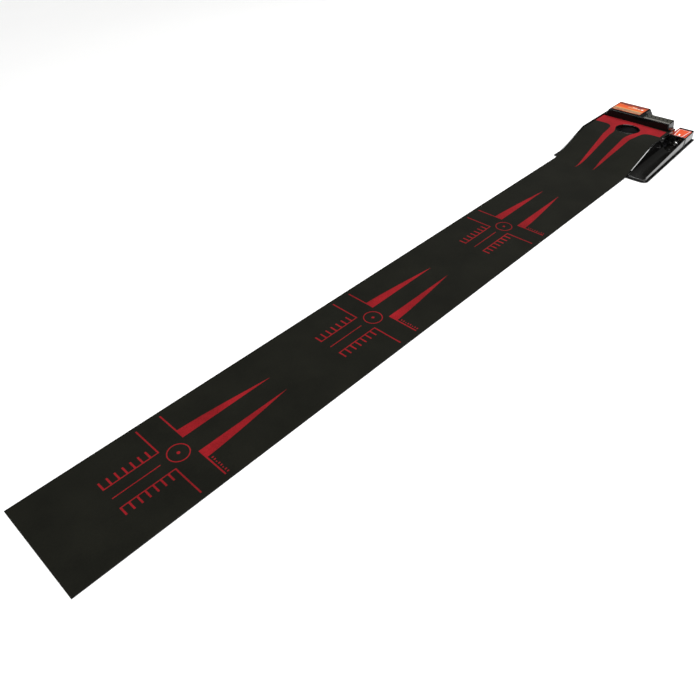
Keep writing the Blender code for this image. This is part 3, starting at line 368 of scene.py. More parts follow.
# The mat: its path is read off the CAD mat, along a line clear of the cup
matSizes = {
    "feltThickness": 0.0017,
    "layerGap": 0.00002,
    "edgeRound": 0.0005,
    "columns": 26,
    "readingLine": 0.10,
    "sideInset": 0.0002,
    "bendsBeforeCup": 0.34,
    "flatSteps": 90,
    "bendSteps": 260,
    "cupGap": 0.0006,
    "cutReach": 0.02,
}
holeRadius = (cupHigh.x - cupLow.x) / 2 + matSizes["cupGap"]


def readPath():
    solid = nodes["mat"]
    bendsFrom = cupX - matSizes["bendsBeforeCup"]
    flat = np.linspace(matLow.x + 1e-4, bendsFrom, matSizes["flatSteps"])
    bends = np.linspace(bendsFrom, matHigh.x - 1e-4, matSizes["bendSteps"])[1:]
    x = np.concatenate([flat, bends])
    top, under = np.empty_like(x), np.empty_like(x)
    y = centreY + matSizes["readingLine"]
    for k, at in enumerate(x):
        top[k] = solid.ray_cast(Vector((at, y, 1.0)), Vector((0, 0, -1)))[1].z
        under[k] = solid.ray_cast(Vector((at, y, -1.0)), Vector((0, 0, 1)))[1].z
    return x, top, under


pathX, pathTop, pathUnder = readPath()
spread = np.hanning(15)
spread /= spread.sum()
even = np.linspace(pathX[0], pathX[-1], 1800)
heights = np.convolve(np.pad(np.interp(even, pathX, pathTop), 7, "edge"), spread, "valid")
pathTop = np.interp(pathX, even, heights)


def topAt(x):
    return np.interp(x, pathX, pathTop)


# A layer of the mat: a flat strip with rounded edges, carried along the path and square to it,
# with a round hole for the cup cut through
def matLayer(name, above, below):
    x, z = pathX.copy(), pathTop
    x[0], x[-1] = matLow.x, matHigh.x
    slope = np.gradient(z, x)
    normal = np.stack([-slope, np.ones_like(slope)], -1) / np.sqrt(1 + slope**2)[:, None]
    half = (matHigh.y - matLow.y) / 2 - matSizes["sideInset"]
    r = matSizes["edgeRound"]
    turn = np.linspace(0, math.pi / 2, 4)
    across = np.linspace(-half + r, half - r, matSizes["columns"])
    rising, falling = turn[:-1], turn[::-1][1:]
    upperY = np.concatenate([-half + r - r * np.cos(rising), across, half - r + r * np.cos(falling)])
    upperDrop = np.concatenate([r - r * np.sin(rising), np.zeros_like(across), r - r * np.sin(falling)])
    ringY = np.concatenate([upperY, upperY[::-1]])
    ringDepth = np.concatenate([above + upperDrop, (below - upperDrop)[::-1]])
    rings = np.empty((len(x), len(ringY), 3))
    rings[:, :, 0] = x[:, None] - normal[:, :1] * ringDepth
    rings[:, :, 1] = centreY + ringY
    rings[:, :, 2] = z[:, None] - normal[:, 1:] * ringDepth
    rings[:, :, 0] = np.clip(rings[:, :, 0], matLow.x, matHigh.x)
    layer = tube(name, rings)
    angle = np.linspace(0, 2 * math.pi, 97)[:-1]
    holeX, holeY = cupX + holeRadius * np.cos(angle), centreY + holeRadius * np.sin(angle)
    ring = np.stack([holeX, holeY, np.zeros_like(angle)], -1)
    levels = [cupHigh.z - matSizes["cutReach"], cupHigh.z + matSizes["cutReach"]]
    cutter = tube("cutter", np.stack([ring + (0, 0, level) for level in levels]))
    hole = layer.modifiers.new("hole", "BOOLEAN")
    hole.operation = "DIFFERENCE"
    hole.object = cutter
    bake(layer)
    bpy.data.objects.remove(cutter)
    return layer


thickness = float(np.median(pathTop - pathUnder))
felt = place(matLayer("matFelt", 0.0, matSizes["feltThickness"]), blackFelt, degrees=50.0)
gap = matSizes["layerGap"]
backing = matLayer("matBacking", matSizes["feltThickness"] + gap, thickness - gap)
place(backing, matBackingRubber, degrees=50.0)
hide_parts("mat")
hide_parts("mat")


# The print: thin inked slabs that follow the felt
printSizes = {
    "proud": 0.00012,
    "sunk": 0.00040,
    "firstPattern": 0.3600,
    "patternSpacing": 0.6945,
    "patterns": 3,
    "gateFront": -0.0330,
    "gateBack": 0.0370,
    "gateInner": 0.0320,
    "gateOuter": 0.1340,
    "gateWidth": 0.0042,
    "circleRadius": 0.0293,
    "circleLine": 0.0030,
    "dotRadius": 0.0045,
    "combInner": 0.0340,
    "combOuter": 0.0610,
    "combLine": 0.0031,
    "combEnd": -0.1790,
    "combTeeth": 7,
    "toothWidth": 0.0049,
    "centreStart": -0.0510,
    "centreLine": 0.0026,
    "wedgeTip": 0.3185,
    "wedgeBase": 0.0620,
    "wedgeTipY": 0.0330,
    "wedgeTipWidth": 0.0004,
    "wedgeBow": 1.28,
    "legendFirst": -0.1320,
    "legendPitch": 0.0084,
    "legendGap": 0.0070,
    "legendWidth": 0.0034,
    "legendHeights": (0.0060, 0.0060, 0.0032, 0.0060, 0.0060, 0.0032, 0.0060, 0.0060),
}


# A slab between two curves on the mat, each an array of (x, y); the sheet follows the felt's height
def inkSlab(left, right, columns=3):
    share = np.linspace(0, 1, columns)[None, :, None]
    flat = left[:, None, :] * (1 - share) + right[:, None, :] * share
    x, y = flat[..., 0], centreY + flat[..., 1]
    z = topAt(x)
    upper = np.stack([x, y, z + printSizes["proud"]], -1)
    lower = np.stack([x, y, z - printSizes["sunk"]], -1)
    rings = np.concatenate([upper, lower[:, ::-1]], 1)
    return tube("ink", rings)


def inkBar(x0, x1, y0, y1):
    steps = max(2, int(abs(x1 - x0) / 0.006) + 2)
    x = np.linspace(x0, x1, steps)
    return inkSlab(np.stack([x, np.full_like(x, y0)], -1), np.stack([x, np.full_like(x, y1)], -1))


# A ring, or a disc when inner is 0: the angle and the radius are the two parameters
def inkRing(x, y, inner, outer, steps=64):
    angle = np.linspace(0, 2 * math.pi, steps + 1)[:-1]
    out = np.stack([np.cos(angle), np.sin(angle)], -1)
    rows = []
    for radius, lift in ((outer, 1), (inner, 1), (inner, -1), (outer, -1)):
        flat = np.array([x, y]) + out * radius
        rise = printSizes["proud"] if lift > 0 else -printSizes["sunk"]
        rows.append(np.stack([flat[:, 0], centreY + flat[:, 1], topAt(flat[:, 0]) + rise], -1))
    rings = np.stack(rows)
    if inner > 0:
        faces = gridFaces(4, steps, wrap=True)
        last = [[3 * steps + i, 3 * steps + (i + 1) % steps, (i + 1) % steps, i] for i in range(steps)]
        return pointOut(meshFrom("ink", rings, faces + last))
    edge = rings[[0, 3]]
    return tube("ink", edge)


def aimingPattern(number):
    size = printSizes
    at = matLow.x + size["firstPattern"] + number * size["patternSpacing"]
    shapes = [inkRing(at, 0.0, size["circleRadius"] - size["circleLine"], size["circleRadius"])]
    shapes.append(inkRing(at, 0.0, 0.0, size["dotRadius"], 24))
    line = size["centreLine"] / 2
    shapes.append(inkBar(at + size["combEnd"], at + size["centreStart"], -line, line))
    half = size["gateWidth"] / 2
    pitch = (size["gateFront"] - size["combEnd"]) / size["combTeeth"]
    for side in (-1, 1):
        inner, outer = side * size["combInner"], side * size["gateOuter"]
        front, back = at + size["gateFront"], at + size["gateBack"]
        shapes.append(inkBar(front - half, front + half, inner, outer))
        shapes.append(inkBar(back - half, back + half, side * size["gateInner"], outer))
        spine = side * (size["combInner"] + size["combLine"])
        combStart = at + size["combEnd"] - size["toothWidth"] / 2
        shapes.append(inkBar(combStart, front - half - 1e-5, inner, spine))
        for tooth in range(size["combTeeth"]):
            x = at + size["combEnd"] + tooth * pitch
            tip = side * size["combOuter"]
            tooth0, tooth1 = x - size["toothWidth"] / 2, x + size["toothWidth"] / 2
            shapes.append(inkBar(tooth0, tooth1, spine + side * 1e-5, tip))
        x = np.linspace(back + half + 1e-5, at + size["wedgeTip"], 48)
        share = (x - x[0]) / (x[-1] - x[0])
        near = side * (size["gateInner"] + (size["wedgeTipY"] - size["gateInner"]) * share)
        tip = size["wedgeTipY"] + size["wedgeTipWidth"]
        far = side * (size["wedgeBase"] + (tip - size["wedgeBase"]) * share ** size["wedgeBow"])
        shapes.append(inkSlab(np.stack([x, near], -1), np.stack([x, far], -1)))
    x = at + size["gateBack"] + size["legendGap"]
    for k, height in enumerate(size["legendHeights"]):
        y = size["legendFirst"] + k * size["legendPitch"]
        shapes.append(inkBar(x, x + height, y, y + size["legendWidth"]))
    return place(joined(f"aimingPattern{number + 1}", shapes), redInk)


for number in range(printSizes["patterns"]):
    aimingPattern(number)


cupPrint = {
    "barFront": 0.0040,
    "barLeft": 0.1485,
    "barRight": 0.1370,
    "tipLeft": -0.3420,
    "tipRight": -0.3230,
    "lean": 0.0110,
    "leanStart": -0.0600,
    "leanLength": 0.28,
    "rearCut": 0.0100,
    "hole": 0.0008,
    "rearGap": 0.0008,
    "curveFrom": -0.03,
    "stretchFrom": -0.10,
    "outerAt": [-0.330, -0.265, -0.155, -0.076, -0.036, -0.016, -0.006, 0.001, 0.004],
    "outer": [0.0332, 0.0400, 0.0512, 0.0590, 0.0650, 0.0700, 0.0765, 0.0870, 0.0990],
    "innerAt": [-0.330, -0.265, -0.235, -0.155, -0.076, -0.051, -0.036, -0.020, -0.016, 0.004],
    "inner": [0.0328, 0.0275, 0.0275, 0.0290, 0.0305, 0.0345, 0.0392, 0.0460, 0.0475, 0.0475],
}


# Half widths of the wedge that runs into the bar, along X counted from the cup's centre.
# In front of stretchFrom they are stretched or shortened along X so that the wedge ends at its own tip.
def wedgeEdges(x, tip):
    size = cupPrint
    start = size["stretchFrom"]
    at = np.where(x < start, start - (start - x) * (start - size["outerAt"][0]) / (start - tip), x)
    inner = np.interp(at, size["innerAt"], size["inner"])
    outer = np.interp(at, size["outerAt"], size["outer"])
    return inner, outer


def cupPattern():
    size = cupPrint
    radius = holeRadius + size["hole"]
    shapes = []
    turn = np.linspace(math.asin(size["barFront"] / radius), math.pi / 2, 36)
    rear = np.linspace(radius, matHigh.x - cupX - size["rearGap"], 8)[1:]
    barX = np.concatenate([radius * np.sin(turn), rear])
    barInner = np.concatenate([radius * np.cos(turn), np.zeros_like(rear)]) + 1e-5
    barX = barX + np.where(np.arange(len(barX)) == 0, 1e-5, 0.0)
    beyond = np.clip((barX - radius) / (barX[-1] - radius), 0.0, 1.0)
    for side in (-1, 1):
        tip = size["tipLeft"] if side > 0 else size["tipRight"]
        bend = size["curveFrom"]
        x = np.concatenate([np.linspace(tip, bend, 60)[:-1], np.linspace(bend, size["barFront"], 40)])
        inner, outer = wedgeEdges(x, tip)
        circle = np.sqrt(np.maximum(radius**2 - x**2, 0.0))
        inner = np.maximum(inner, circle)
        lean = size["lean"] * np.clip((size["leanStart"] - x) / size["leanLength"], 0.0, 1.0)
        near = np.stack([cupX + x, side * inner + lean], -1)
        far = np.stack([cupX + x, side * outer + lean], -1)
        shapes.append(inkSlab(near, far, 4))
        edge = np.full_like(barX, size["barLeft"] if side > 0 else size["barRight"])
        cut = size["rearCut"] if side < 0 else 0.0
        near = np.stack([cupX + barX, side * barInner], -1)
        far = np.stack([cupX + barX - beyond * cut, side * edge], -1)
        shapes.append(inkSlab(near, far, 6))
    return place(joined("cupPattern", shapes), redInk)


cupPattern()
print("print made")


# Moulded parts: the CAD shapes with their triangles merged and their edges rounded
def copyOf(node, name):
    piece = bpy.data.objects.new(name, nodes[node].data.copy())
    bpy.context.scene.collection.objects.link(piece)
    return piece


# Least upward lean, as a share of 1, of the two faces beside an edge of the crown
crownFaces = {"upper": 0.35, "lower": -0.05}


# Two rounds: the outer edges of the upper faces get the wider one, and every other sharp edge the narrow one
def polished(node, name, crown, width, segments=2, degrees=32.0):
    piece = copyOf(node, name)
    work = bmesh.new()
    work.from_mesh(piece.data)
    bmesh.ops.remove_doubles(work, verts=work.verts, dist=0.00001)
    bmesh.ops.dissolve_limit(work, angle_limit=math.radians(0.8), verts=work.verts, edges=work.edges)
    weights = work.edges.layers.float.new("bevel_weight_edge")
    for edge in work.edges:
        lifts = [face.normal.z for face in edge.link_faces]
        if len(lifts) == 2 and max(lifts) > crownFaces["upper"] and min(lifts) > crownFaces["lower"]:
            edge[weights] = 1.0 if edge.calc_face_angle_signed() > math.radians(degrees) else 0.0
    work.to_mesh(piece.data)
    work.free()
    crownEdge = piece.modifiers.new("crown", "BEVEL")
    crownEdge.width = crown
    crownEdge.segments = 4
    crownEdge.limit_method = "WEIGHT"
    bake(piece)
    bevel(piece, width, segments, degrees)
    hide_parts(node)
    return piece


# Each moulded part: its name, the crown's and the narrow edges' widths, its material and its slot
mouldedParts = {
    "housing_cover": ("housingShell", 0.0026, 0.0005, deepBlack, "gloss_black"),
    "launcher_cover": ("launcherShell", 0.0016, 0.0005, glossBlack, "gloss_black"),
    "upper_shell": ("rampShell", 0.0012, 0.0005, glossBlack, "gloss_black"),
    "base_plate": ("basePlateShell", 0.0008, 0.0004, glossBlack, "satin_black"),
    "cup_ring": ("cupRingShell", 0.0006, 0.0003, glossBlack, "gloss_black"),
}
for node, (name, crown, width, material, slotName) in mouldedParts.items():
    place(polished(node, name, crown, width), material, even=True)


troughSizes = {
    "floor": 0.0093,
    "dipFront": 0.0055, "dipRear": 0.0140,
    "edgeFront": 0.0255, "edgeRear": 0.0440,
    "wall": 0.0035, "edgeRound": 0.0016, "footRound": 0.0070,
    "landingRear": 0.0180, "landingLength": 0.0560,
    "taper": 0.0405,
    "rows": 150,
    "footRows": 14,
    "floorRows": 44,
    "step": 0.0002,
}


# The trough as a height over X and Y: a floor that is a parabola across, and an outer wall with round edges.
# share runs 0 to 1 along it: height = floor + dip(share) * across^2, and the wall's top is edge(share).
# The wall runs in towards the mat by taper * (x - low.x), and the floor narrows with it.
def returnTrough():
    size = troughSizes
    low, high = (Vector(corner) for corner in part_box("return_trough"))
    wallY = low.y + size["wall"]
    r, foot = size["edgeRound"], size["footRound"]
    landing = (high.x - size["landingRear"] - size["landingLength"], high.x - size["landingRear"])
    step = size["step"]
    turn = np.sin(np.linspace(0, math.pi / 2, 5))
    x = np.concatenate([
        low.x + r * (1 - turn),
        np.linspace(low.x + r, high.x - r, size["rows"])[1:-1],
        high.x - r * (1 - turn),
        [landing[0] - step, landing[0] + step, landing[1] - step, landing[1] + step],
    ])
    middle = (high.y + wallY) / 2
    y = np.concatenate([
        low.y + r * (1 - turn),
        wallY - r * (1 - turn),
        [wallY + step],
        np.linspace(wallY, wallY + foot, size["footRows"])[1:],
        np.linspace(wallY + foot, high.y - r, size["floorRows"])[1:],
        high.y - r * (1 - turn),
        [middle - step, middle + step],
    ])
    x, y = np.unique(np.round(x, 7)), np.unique(np.round(y, 7))
    gridX, flatY = np.meshgrid(x, y, indexing="ij")
    shift = size["taper"] * (gridX - low.x)
    inner = wallY + foot
    narrow = (high.y - inner - shift) / (high.y - inner)
    gridY = np.where(flatY < inner, flatY + shift, high.y - (high.y - flatY) * narrow)
    share = (gridX - low.x) / (high.x - low.x)
    dip = size["dipFront"] + (size["dipRear"] - size["dipFront"]) * share
    edge = size["edgeFront"] + (size["edgeRear"] - size["edgeFront"]) * share
    half = (high.y - wallY - shift) / 2
    across = (gridY - (high.y - half)) / half
    height = size["floor"] + dip * across**2
    near = np.clip(1 - (gridY - wallY - shift) / foot, 0.0, 1.0)
    climb = np.minimum(edge - r - height, foot) * (1 - np.sqrt(1 - near**2))
    onWall = flatY <= wallY
    height = np.where(onWall, edge, height + np.maximum(climb, 0.0))
    inLanding = (gridX > landing[0]) & (gridX < landing[1]) & (flatY > middle)
    height = np.where(inLanding, np.minimum(height, size["floor"]), height)
    for away in (gridX - low.x, high.x - gridX, flatY - low.y, np.where(onWall, wallY - flatY, 1.0)):
        short = np.clip(r - away, 0.0, r)
        height = height - (r - np.sqrt(r**2 - short**2))
    top = np.stack([gridX, gridY, height], -1)
    base = np.stack([gridX, gridY, np.full_like(gridX, low.z)], -1)
    rings = np.concatenate([top, base[:, ::-1]], 1)
    return tube("returnTroughShell", rings)


trough = place(returnTrough(), troughBlack, degrees=50.0)
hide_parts("return_trough")
print("moulded parts made")


# The return spring, which shortens against the solenoid's rear plate as the kicker slides out: here a copy
# of the CAD coil in plated steel, with a mesh of its own
def returnSpring():
    piece = joined("returnSpringCoil", [copyOf("return_spring", "springCopy")])
    place(pointOut(piece), zincSteel)
    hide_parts("return_spring")
    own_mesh(piece)


returnSpring()


# Nodes that keep their CAD shape take a finish from here, and the rest are plated steel
nodeMaterials = {
    "ball_chute": satinBlack, "ball_switch": satinBlack,
    "battery_box": satinBlack, "battery_door": satinBlack,
    "power_inlet": satinBlack, "switch_bezel": satinBlack,
    "solenoid_coil": copperWire, "circuit_board": boardGreen, "power_rocker": rockerRed,
    "main_label": filmOrange, "launcher_label": filmOrange,
}
madeAnew = (*mouldedParts, "mat", "return_trough", "return_spring")
for name, node in nodes.items():
    if name.startswith("battery_cell"):
        chosen = cellWrap
    elif name.startswith("rubber_foot"):
        chosen = rubberBlack
    else:
        chosen = nodeMaterials.get(name, zincSteel)
    if name not in madeAnew:
        node.data.materials.clear()
        node.data.materials.append(chosen)


# Labels: films with plain shapes only, each a flat outline raised by the film's thickness; they are print,
# apart from a painted highlight at the main label's front edge and the launcher label's white bar, which is
# a painted highlight too
filmSizes = {
    "thickness": 0.00008,
    "gap": 0.00001,
}


def slab(name, outline, low, high):
    ring = np.asarray(outline, dtype=float)
    levels = [np.column_stack([ring, np.full(len(ring), level)]) for level in (low, high)]
    return tube(name, np.stack(levels))


# A film on the given layer, counted from 0, above the label's face
def filmPiece(name, outline, face, layer, material):
    low = face + filmSizes["gap"] + layer * filmSizes["thickness"]
    high = face + (layer + 1) * filmSizes["thickness"]
    return place(slab(name, outline, low, high), material)


def circleOutline(x, y, radius, steps=40):
    angle = np.linspace(0, 2 * math.pi, steps + 1)[:-1]
    return np.stack([x + radius * np.cos(angle), y + radius * np.sin(angle)], -1)


def slantedBar(x0, x1, y0, y1, slant=0.0):
    return [(x0, y0), (x1, y0 + slant), (x1, y1 + slant), (x0, y1)]


def insetOutline(x0, x1, y0, y1, margin):
    x0, x1, y0, y1 = x0 + margin, x1 - margin, y0 + margin, y1 - margin
    return [(x0, y0), (x1, y0), (x1, y1), (x0, y1)]


# Colour bands across a label: a ramp along X from x0 to x1, broken up by streaks that run along Y; the stops
# are print, apart from a painted highlight at the main label's front edge
def bandedFilm(name, x0, x1, stops, streak, along=(55.0, 5.0, 1.0)):
    material, tree, shader = newMaterial(name, Roughness=0.45, Specular_IOR_Level=0.15)
    coords = addNode(tree, "ShaderNodeTexCoord").outputs["Object"]
    split = addNode(tree, "ShaderNodeSeparateXYZ")
    tree.links.new(coords, split.inputs[0])
    mapping = addNode(tree, "ShaderNodeMapping")
    mapping.inputs["Scale"].default_value = along
    tree.links.new(coords, mapping.inputs["Vector"])
    streaks = noiseOf(tree, mapping.outputs["Vector"], 6.0, 4.0, 0.7)
    share = rangeOf(tree, split.outputs["X"], x0, x1)
    shifted = mathOf(tree, "ADD", share, rangeOf(tree, streaks.outputs["Fac"], 0.3, 0.7, -streak, streak))
    ramp = addNode(tree, "ShaderNodeValToRGB")
    tree.links.new(shifted, ramp.inputs["Fac"])
    elements = ramp.color_ramp.elements
    for element, (position, colour) in zip(elements, (stops[0], stops[-1])):
        element.position, element.color = position, (*colour, 1.0)
    for position, colour in stops[1:-1]:
        elements.new(position).color = (*colour, 1.0)
    tree.links.new(ramp.outputs["Color"], shader.inputs["Base Color"])
    bumpOf(tree, shader, streaks.outputs["Fac"], 0.02, 0.0004)
    return material


# Places on the main label: "deep" is counted forwards from its rear edge, "across" from its right edge
mainLabelSizes = {
    "margin": 0.0016,
    "streak": 0.07,
    # Stops run from the front edge at 0 to the rear at 1; the light beige stops at 0.00 and 0.05 are a
    # painted highlight along the front edge, and the rest are print
    "bands": [
        (0.00, (0.480, 0.290, 0.160)), (0.05, (0.380, 0.200, 0.100)), (0.09, (0.120, 0.022, 0.012)),
        (0.15, (0.420, 0.260, 0.150)), (0.21, (0.170, 0.070, 0.030)), (0.27, (0.430, 0.240, 0.110)),
        (0.35, (0.520, 0.170, 0.050)), (0.43, (0.560, 0.085, 0.013)), (0.62, (0.480, 0.055, 0.010)),
        (0.74, (0.520, 0.100, 0.022)), (0.79, (0.300, 0.060, 0.020)), (0.83, (0.100, 0.012, 0.008)),
        (0.93, (0.150, 0.034, 0.014)), (1.00, (0.060, 0.012, 0.007)),
    ],
    "redBar1": {"deep": (0.030, 0.012), "across": (0.022, 0.046), "slant": -0.006},
    "redBar2": {"deep": (0.024, 0.012), "across": 0.068, "leftGap": 0.022, "slant": -0.004},
    "ball": {"deep": 0.036, "across": 0.016, "radius": 0.0058},
    "whiteBars": {"count": 3, "deep": (0.038, 0.0335), "across": 0.028, "length": 0.008, "slant": -0.003},
    "whiteSteps": {"deep": 0.002, "across": 0.012},
    "sandBar": {"fromFront": (0.050, 0.056), "across": 0.020, "leftGap": 0.050, "slant": -0.002},
}


def mainLabel():
    size = mainLabelSizes
    low, high = (Vector(corner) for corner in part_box("main_label"))
    x0, x1, y0, y1 = low.x, high.x, low.y, high.y
    art = bandedFilm("labelArt", x0, x1, size["bands"], size["streak"])
    filmPiece("mainLabelPrintAndHighlight", insetOutline(x0, x1, y0, y1, size["margin"]), high.z, 0, art)
    bar = size["redBar1"]
    (rear, front), (right, left) = bar["deep"], bar["across"]
    outline = slantedBar(x1 - rear, x1 - front, y0 + right, y0 + left, bar["slant"])
    filmPiece("labelRedBar1", outline, high.z, 1, filmDark)
    bar = size["redBar2"]
    rear, front = bar["deep"]
    outline = slantedBar(x1 - rear, x1 - front, y0 + bar["across"], y1 - bar["leftGap"], bar["slant"])
    filmPiece("labelRedBar2", outline, high.z, 1, filmDark)
    ball = size["ball"]
    outline = circleOutline(x1 - ball["deep"], y0 + ball["across"], ball["radius"])
    filmPiece("labelBall", outline, high.z, 1, filmWhite)
    bar, step = size["whiteBars"], size["whiteSteps"]
    for k in range(bar["count"]):
        rear, front = (x1 - deep + step["deep"] * k for deep in bar["deep"])
        start = y0 + bar["across"] + step["across"] * k
        outline = slantedBar(rear, front, start, start + bar["length"], bar["slant"])
        filmPiece(f"labelWhiteBar{k + 1}", outline, high.z, 1, filmWhite)
    bar = size["sandBar"]
    front, rear = bar["fromFront"]
    outline = slantedBar(x0 + front, x0 + rear, y0 + bar["across"], y1 - bar["leftGap"], bar["slant"])
    filmPiece("labelSandBar", outline, high.z, 1, filmSand)


# A red field, a white line inside it, an orange centre, and a plain white bar that is a painted highlight.
# Each outline has a margin in X, and shares of the width that it leaves at the front and at the rear.
launcherLabelSizes = {
    "rightGap": 0.0035,
    "fieldMargin": 0.0010,
    "line": (0.0034, 0.17, 0.07),
    "centre": (0.0050, 0.215, 0.115),
    "bar": {"x": (0.007, 0.024), "y": (-0.0045, 0.0025), "slant": 0.003},
}


def launcherLabel():
    size = launcherLabelSizes
    low, high = (Vector(corner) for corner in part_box("launcher_label"))
    x0, x1, y0, y1 = low.x, high.x, low.y + size["rightGap"], high.y

    def slanted(margin, frontShare, rearShare):
        front, rear = (y1 - y0) * frontShare, (y1 - y0) * rearShare
        near, far = x0 + margin, x1 - margin
        return [(near, y0 + front), (far, y0 + rear), (far, y1 - rear), (near, y1 - front)]

    filmPiece("launcherLabelField", insetOutline(x0, x1, y0, y1, size["fieldMargin"]), high.z, 0, filmRed)
    filmPiece("launcherLabelLine", slanted(*size["line"]), high.z, 1, filmWhite)
    filmPiece("launcherLabelCentre", slanted(*size["centre"]), high.z, 2, filmOrange)
    # The white bar on the orange centre is a painted highlight
    (front, rear), (right, left) = size["bar"]["x"], size["bar"]["y"]
    middle = (y0 + y1) / 2
    outline = slantedBar(x0 + front, x0 + rear, middle + right, middle + left, size["bar"]["slant"])
    filmPiece("launcherLabelHighlightBar", outline, high.z, 3, filmWhite)


mainLabel()
launcherLabel()


# The housing's shallow half: a grained panel whose grey tone and light blobs are painted sheen on the black
# top, a row of raised plain chevrons, and a light rim at its front that is a painted highlight.
# X is counted from the housing's front and Y from the mat's middle.
ledgeSizes = {
    "panelX": (0.0095, 0.054), "panelY": (-0.130, -0.022),
    "panelSunk": 0.0002, "panelRise": 0.00025, "panelEdge": 0.0001,
    "rimX": 0.0088, "rimZ": -0.0027, "rimOuter": 0.0031, "rimInner": 0.0022, "rimY": (-0.1335, -0.0215),
    "count": 6, "first": -0.022, "pitch": 0.0170, "length": 0.020, "width": 0.0055,
    "depth": 0.0300, "sunk": 0.0003, "rise": 0.0009, "edge": 0.0003,
}


# The rim: a quarter of a ring, radius over the angle, carried along Y; its light grey is a painted highlight
# along the housing's front top edge
def ledgeHighlightRim(low, high):
    size = ledgeSizes
    angle = np.linspace(math.pi / 2, math.pi, 9)
    ring = []
    for radius, turn in ((size["rimOuter"], angle), (size["rimInner"], angle[::-1])):
        x = low.x + size["rimX"] + radius * np.cos(turn)
        ring.append(np.stack([x, high.z + size["rimZ"] + radius * np.sin(turn)], -1))
    ring = np.concatenate(ring)
    rows = [np.column_stack([ring[:, 0], np.full(len(ring), centreY + y), ring[:, 1]]) for y in size["rimY"]]
    place(tube("ledgeHighlightRim", np.stack(rows)), highlightGrey)


def ledgeRow():
    size = ledgeSizes
    low, high = (Vector(corner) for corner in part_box("housing_cover"))
    x0, x1 = (low.x + x for x in size["panelX"])
    y0, y1 = (centreY + y for y in size["panelY"])
    under, top = high.z - size["panelSunk"], high.z + size["panelRise"]
    # The panel's grey and light blobs are painted sheen
    panel = slab("ledgeSheenPanel", slantedBar(x0, x1, y0, y1), under, top)
    place(bevel(panel, size["panelEdge"]), sheenGrainBlack)
    ledgeHighlightRim(low, high)
    shapes = []
    wide, reach = size["width"], size["length"]
    for k in range(size["count"]):
        y = centreY + size["first"] - k * size["pitch"]
        x = low.x + size["depth"] - reach / 2
        outline = [
            (x, y), (x + reach / 2, y - wide), (x + reach, y),
            (x + reach, y - wide), (x + reach / 2, y - 2 * wide), (x, y - wide),
        ]
        shapes.append(slab("mark", outline, high.z - size["sunk"], high.z + size["rise"]))
    return place(bevel(joined("ledgeMarks", shapes), size["edge"]), deepBlack)


ledgeRow()
print("labels made")


# Floor, light and camera
studioSizes = {
    "floorSize": 60.0,
    "floorZ": -0.0005,
    "floorTones": [(0.92, 0.92, 0.915), (0.94, 0.94, 0.935)],
    "skyLow": (0.0, 1.0), "skyHigh": (1.0, 0.16),
    "skyBetween": ((0.10, 1.0), (0.15, 0.12), (0.60, 0.09)),
    "keyEnergy": 3.4, "keyAngle": 70.0,
    "keyPosition": (-3.0, -2.2, 4.6), "keyTarget": (0.0, 0.0, 0.0),
}
softboxes = {
    "overheadSoftbox": {
        "position": (2.35, 0.58, 2.05), "target": (1.10, -0.12, 0.05),
        "size": 1.2, "energy": 42.0,
    },
    "nearSoftbox": {
        "position": (-0.95, -0.50, 2.20), "target": (-0.75, 0.0, 0.0),
        "size": 1.2, "energy": 22.0,
    },
}


def paleFloor():
    size = studioSizes
    bpy.ops.mesh.primitive_plane_add(size=size["floorSize"], location=(0.0, 0.0, size["floorZ"]))
    floor = bpy.context.object
    floor.name = "floor"
    material, tree, shader = newMaterial("paleFloor", Roughness=0.85, Specular_IOR_Level=0.1)
    coords = addNode(tree, "ShaderNodeTexCoord").outputs["Object"]
    tone = noiseOf(tree, coords, 1.3, 2.0)
    tones = blendColours(tree, tone.outputs["Fac"], size["floorTones"])
    tree.links.new(tones, shader.inputs["Base Color"])
    floor.data.materials.append(material)


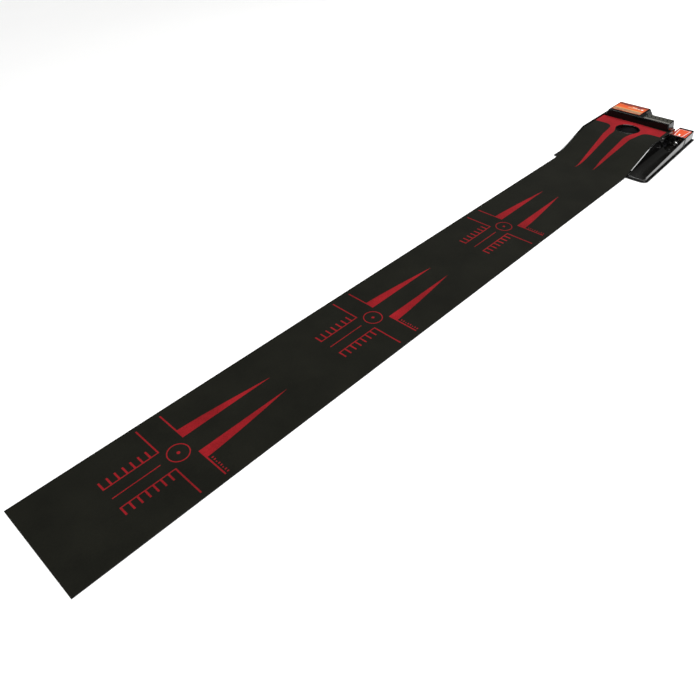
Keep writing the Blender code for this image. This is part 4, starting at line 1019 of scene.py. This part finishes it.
# The world's light fades with height, while the backdrop that the camera sees stays plain and pale
def skyLight():
    world = bpy.data.worlds.new("studio")
    bpy.context.scene.world = world
    world.use_nodes = True
    sky = world.node_tree
    upward = addNode(sky, "ShaderNodeSeparateXYZ")
    sky.links.new(addNode(sky, "ShaderNodeTexCoord").outputs["Generated"], upward.inputs[0])
    ramp = addNode(sky, "ShaderNodeValToRGB")
    sky.links.new(rangeOf(sky, upward.outputs["Z"], -0.1, 1.0), ramp.inputs["Fac"])
    elements = ramp.color_ramp.elements
    for element, (position, tone) in zip(elements, (studioSizes["skyLow"], studioSizes["skyHigh"])):
        element.position, element.color = position, (tone, tone, tone, 1.0)
    for position, tone in studioSizes["skyBetween"]:
        elements.new(position).color = (tone, tone, tone, 1.0)
    seen = addNode(sky, "ShaderNodeLightPath").outputs["Is Camera Ray"]
    backdrop = addNode(sky, "ShaderNodeMix", data_type="RGBA")
    sockets = {socket.identifier: socket for socket in (*backdrop.inputs, *backdrop.outputs)}
    sockets["B_Color"].default_value = (1.0, 1.0, 1.0, 1.0)
    sky.links.new(seen, sockets["Factor_Float"])
    sky.links.new(ramp.outputs["Color"], sockets["A_Color"])
    sky.links.new(sockets["Result_Color"], sky.nodes["Background"].inputs["Color"])
    sky.nodes["Background"].inputs["Strength"].default_value = 1.0


def studio():
    paleFloor()
    skyLight()
    key = bpy.data.lights.new("keyLight", "SUN")
    key.energy = studioSizes["keyEnergy"]
    key.angle = math.radians(studioSizes["keyAngle"])
    aimLamp("keyLight", key, studioSizes["keyPosition"], studioSizes["keyTarget"])
    for name, box in softboxes.items():
        light = bpy.data.lights.new(name, "AREA")
        light.size = box["size"]
        light.energy = box["energy"]
        aimLamp(name, light, box["position"], box["target"])


def aimLamp(name, light, position, target):
    lamp = bpy.data.objects.new(name, light)
    bpy.context.scene.collection.objects.link(lamp)
    aim = (Vector(target) - Vector(position)).to_track_quat("-Z", "Y")
    lamp.matrix_world = Matrix.Translation(position) @ aim.to_matrix().to_4x4()


view = {
    "eye": (-1.5085, -0.9661, 1.1880),
    "forward": (0.5347, 0.5282, -0.6596),
    "up": (0.4917, 0.4403, 0.7512),
    "lens": 33.0,
}


def camera():
    data = bpy.data.cameras.new("camera")
    data.lens = view["lens"]
    data.sensor_width = 36.0
    data.clip_end = 60.0
    eye = bpy.data.objects.new("camera", data)
    bpy.context.scene.collection.objects.link(eye)
    back = -Vector(view["forward"]).normalized()
    right = Vector(view["up"]).cross(back).normalized()
    up = back.cross(right)
    turn = Matrix((right, up, back)).transposed().to_4x4()
    eye.matrix_world = Matrix.Translation(view["eye"]) @ turn
    bpy.context.scene.camera = eye


studio()
camera()
bpy.context.scene.view_settings.view_transform = "Standard"
print("studio made")
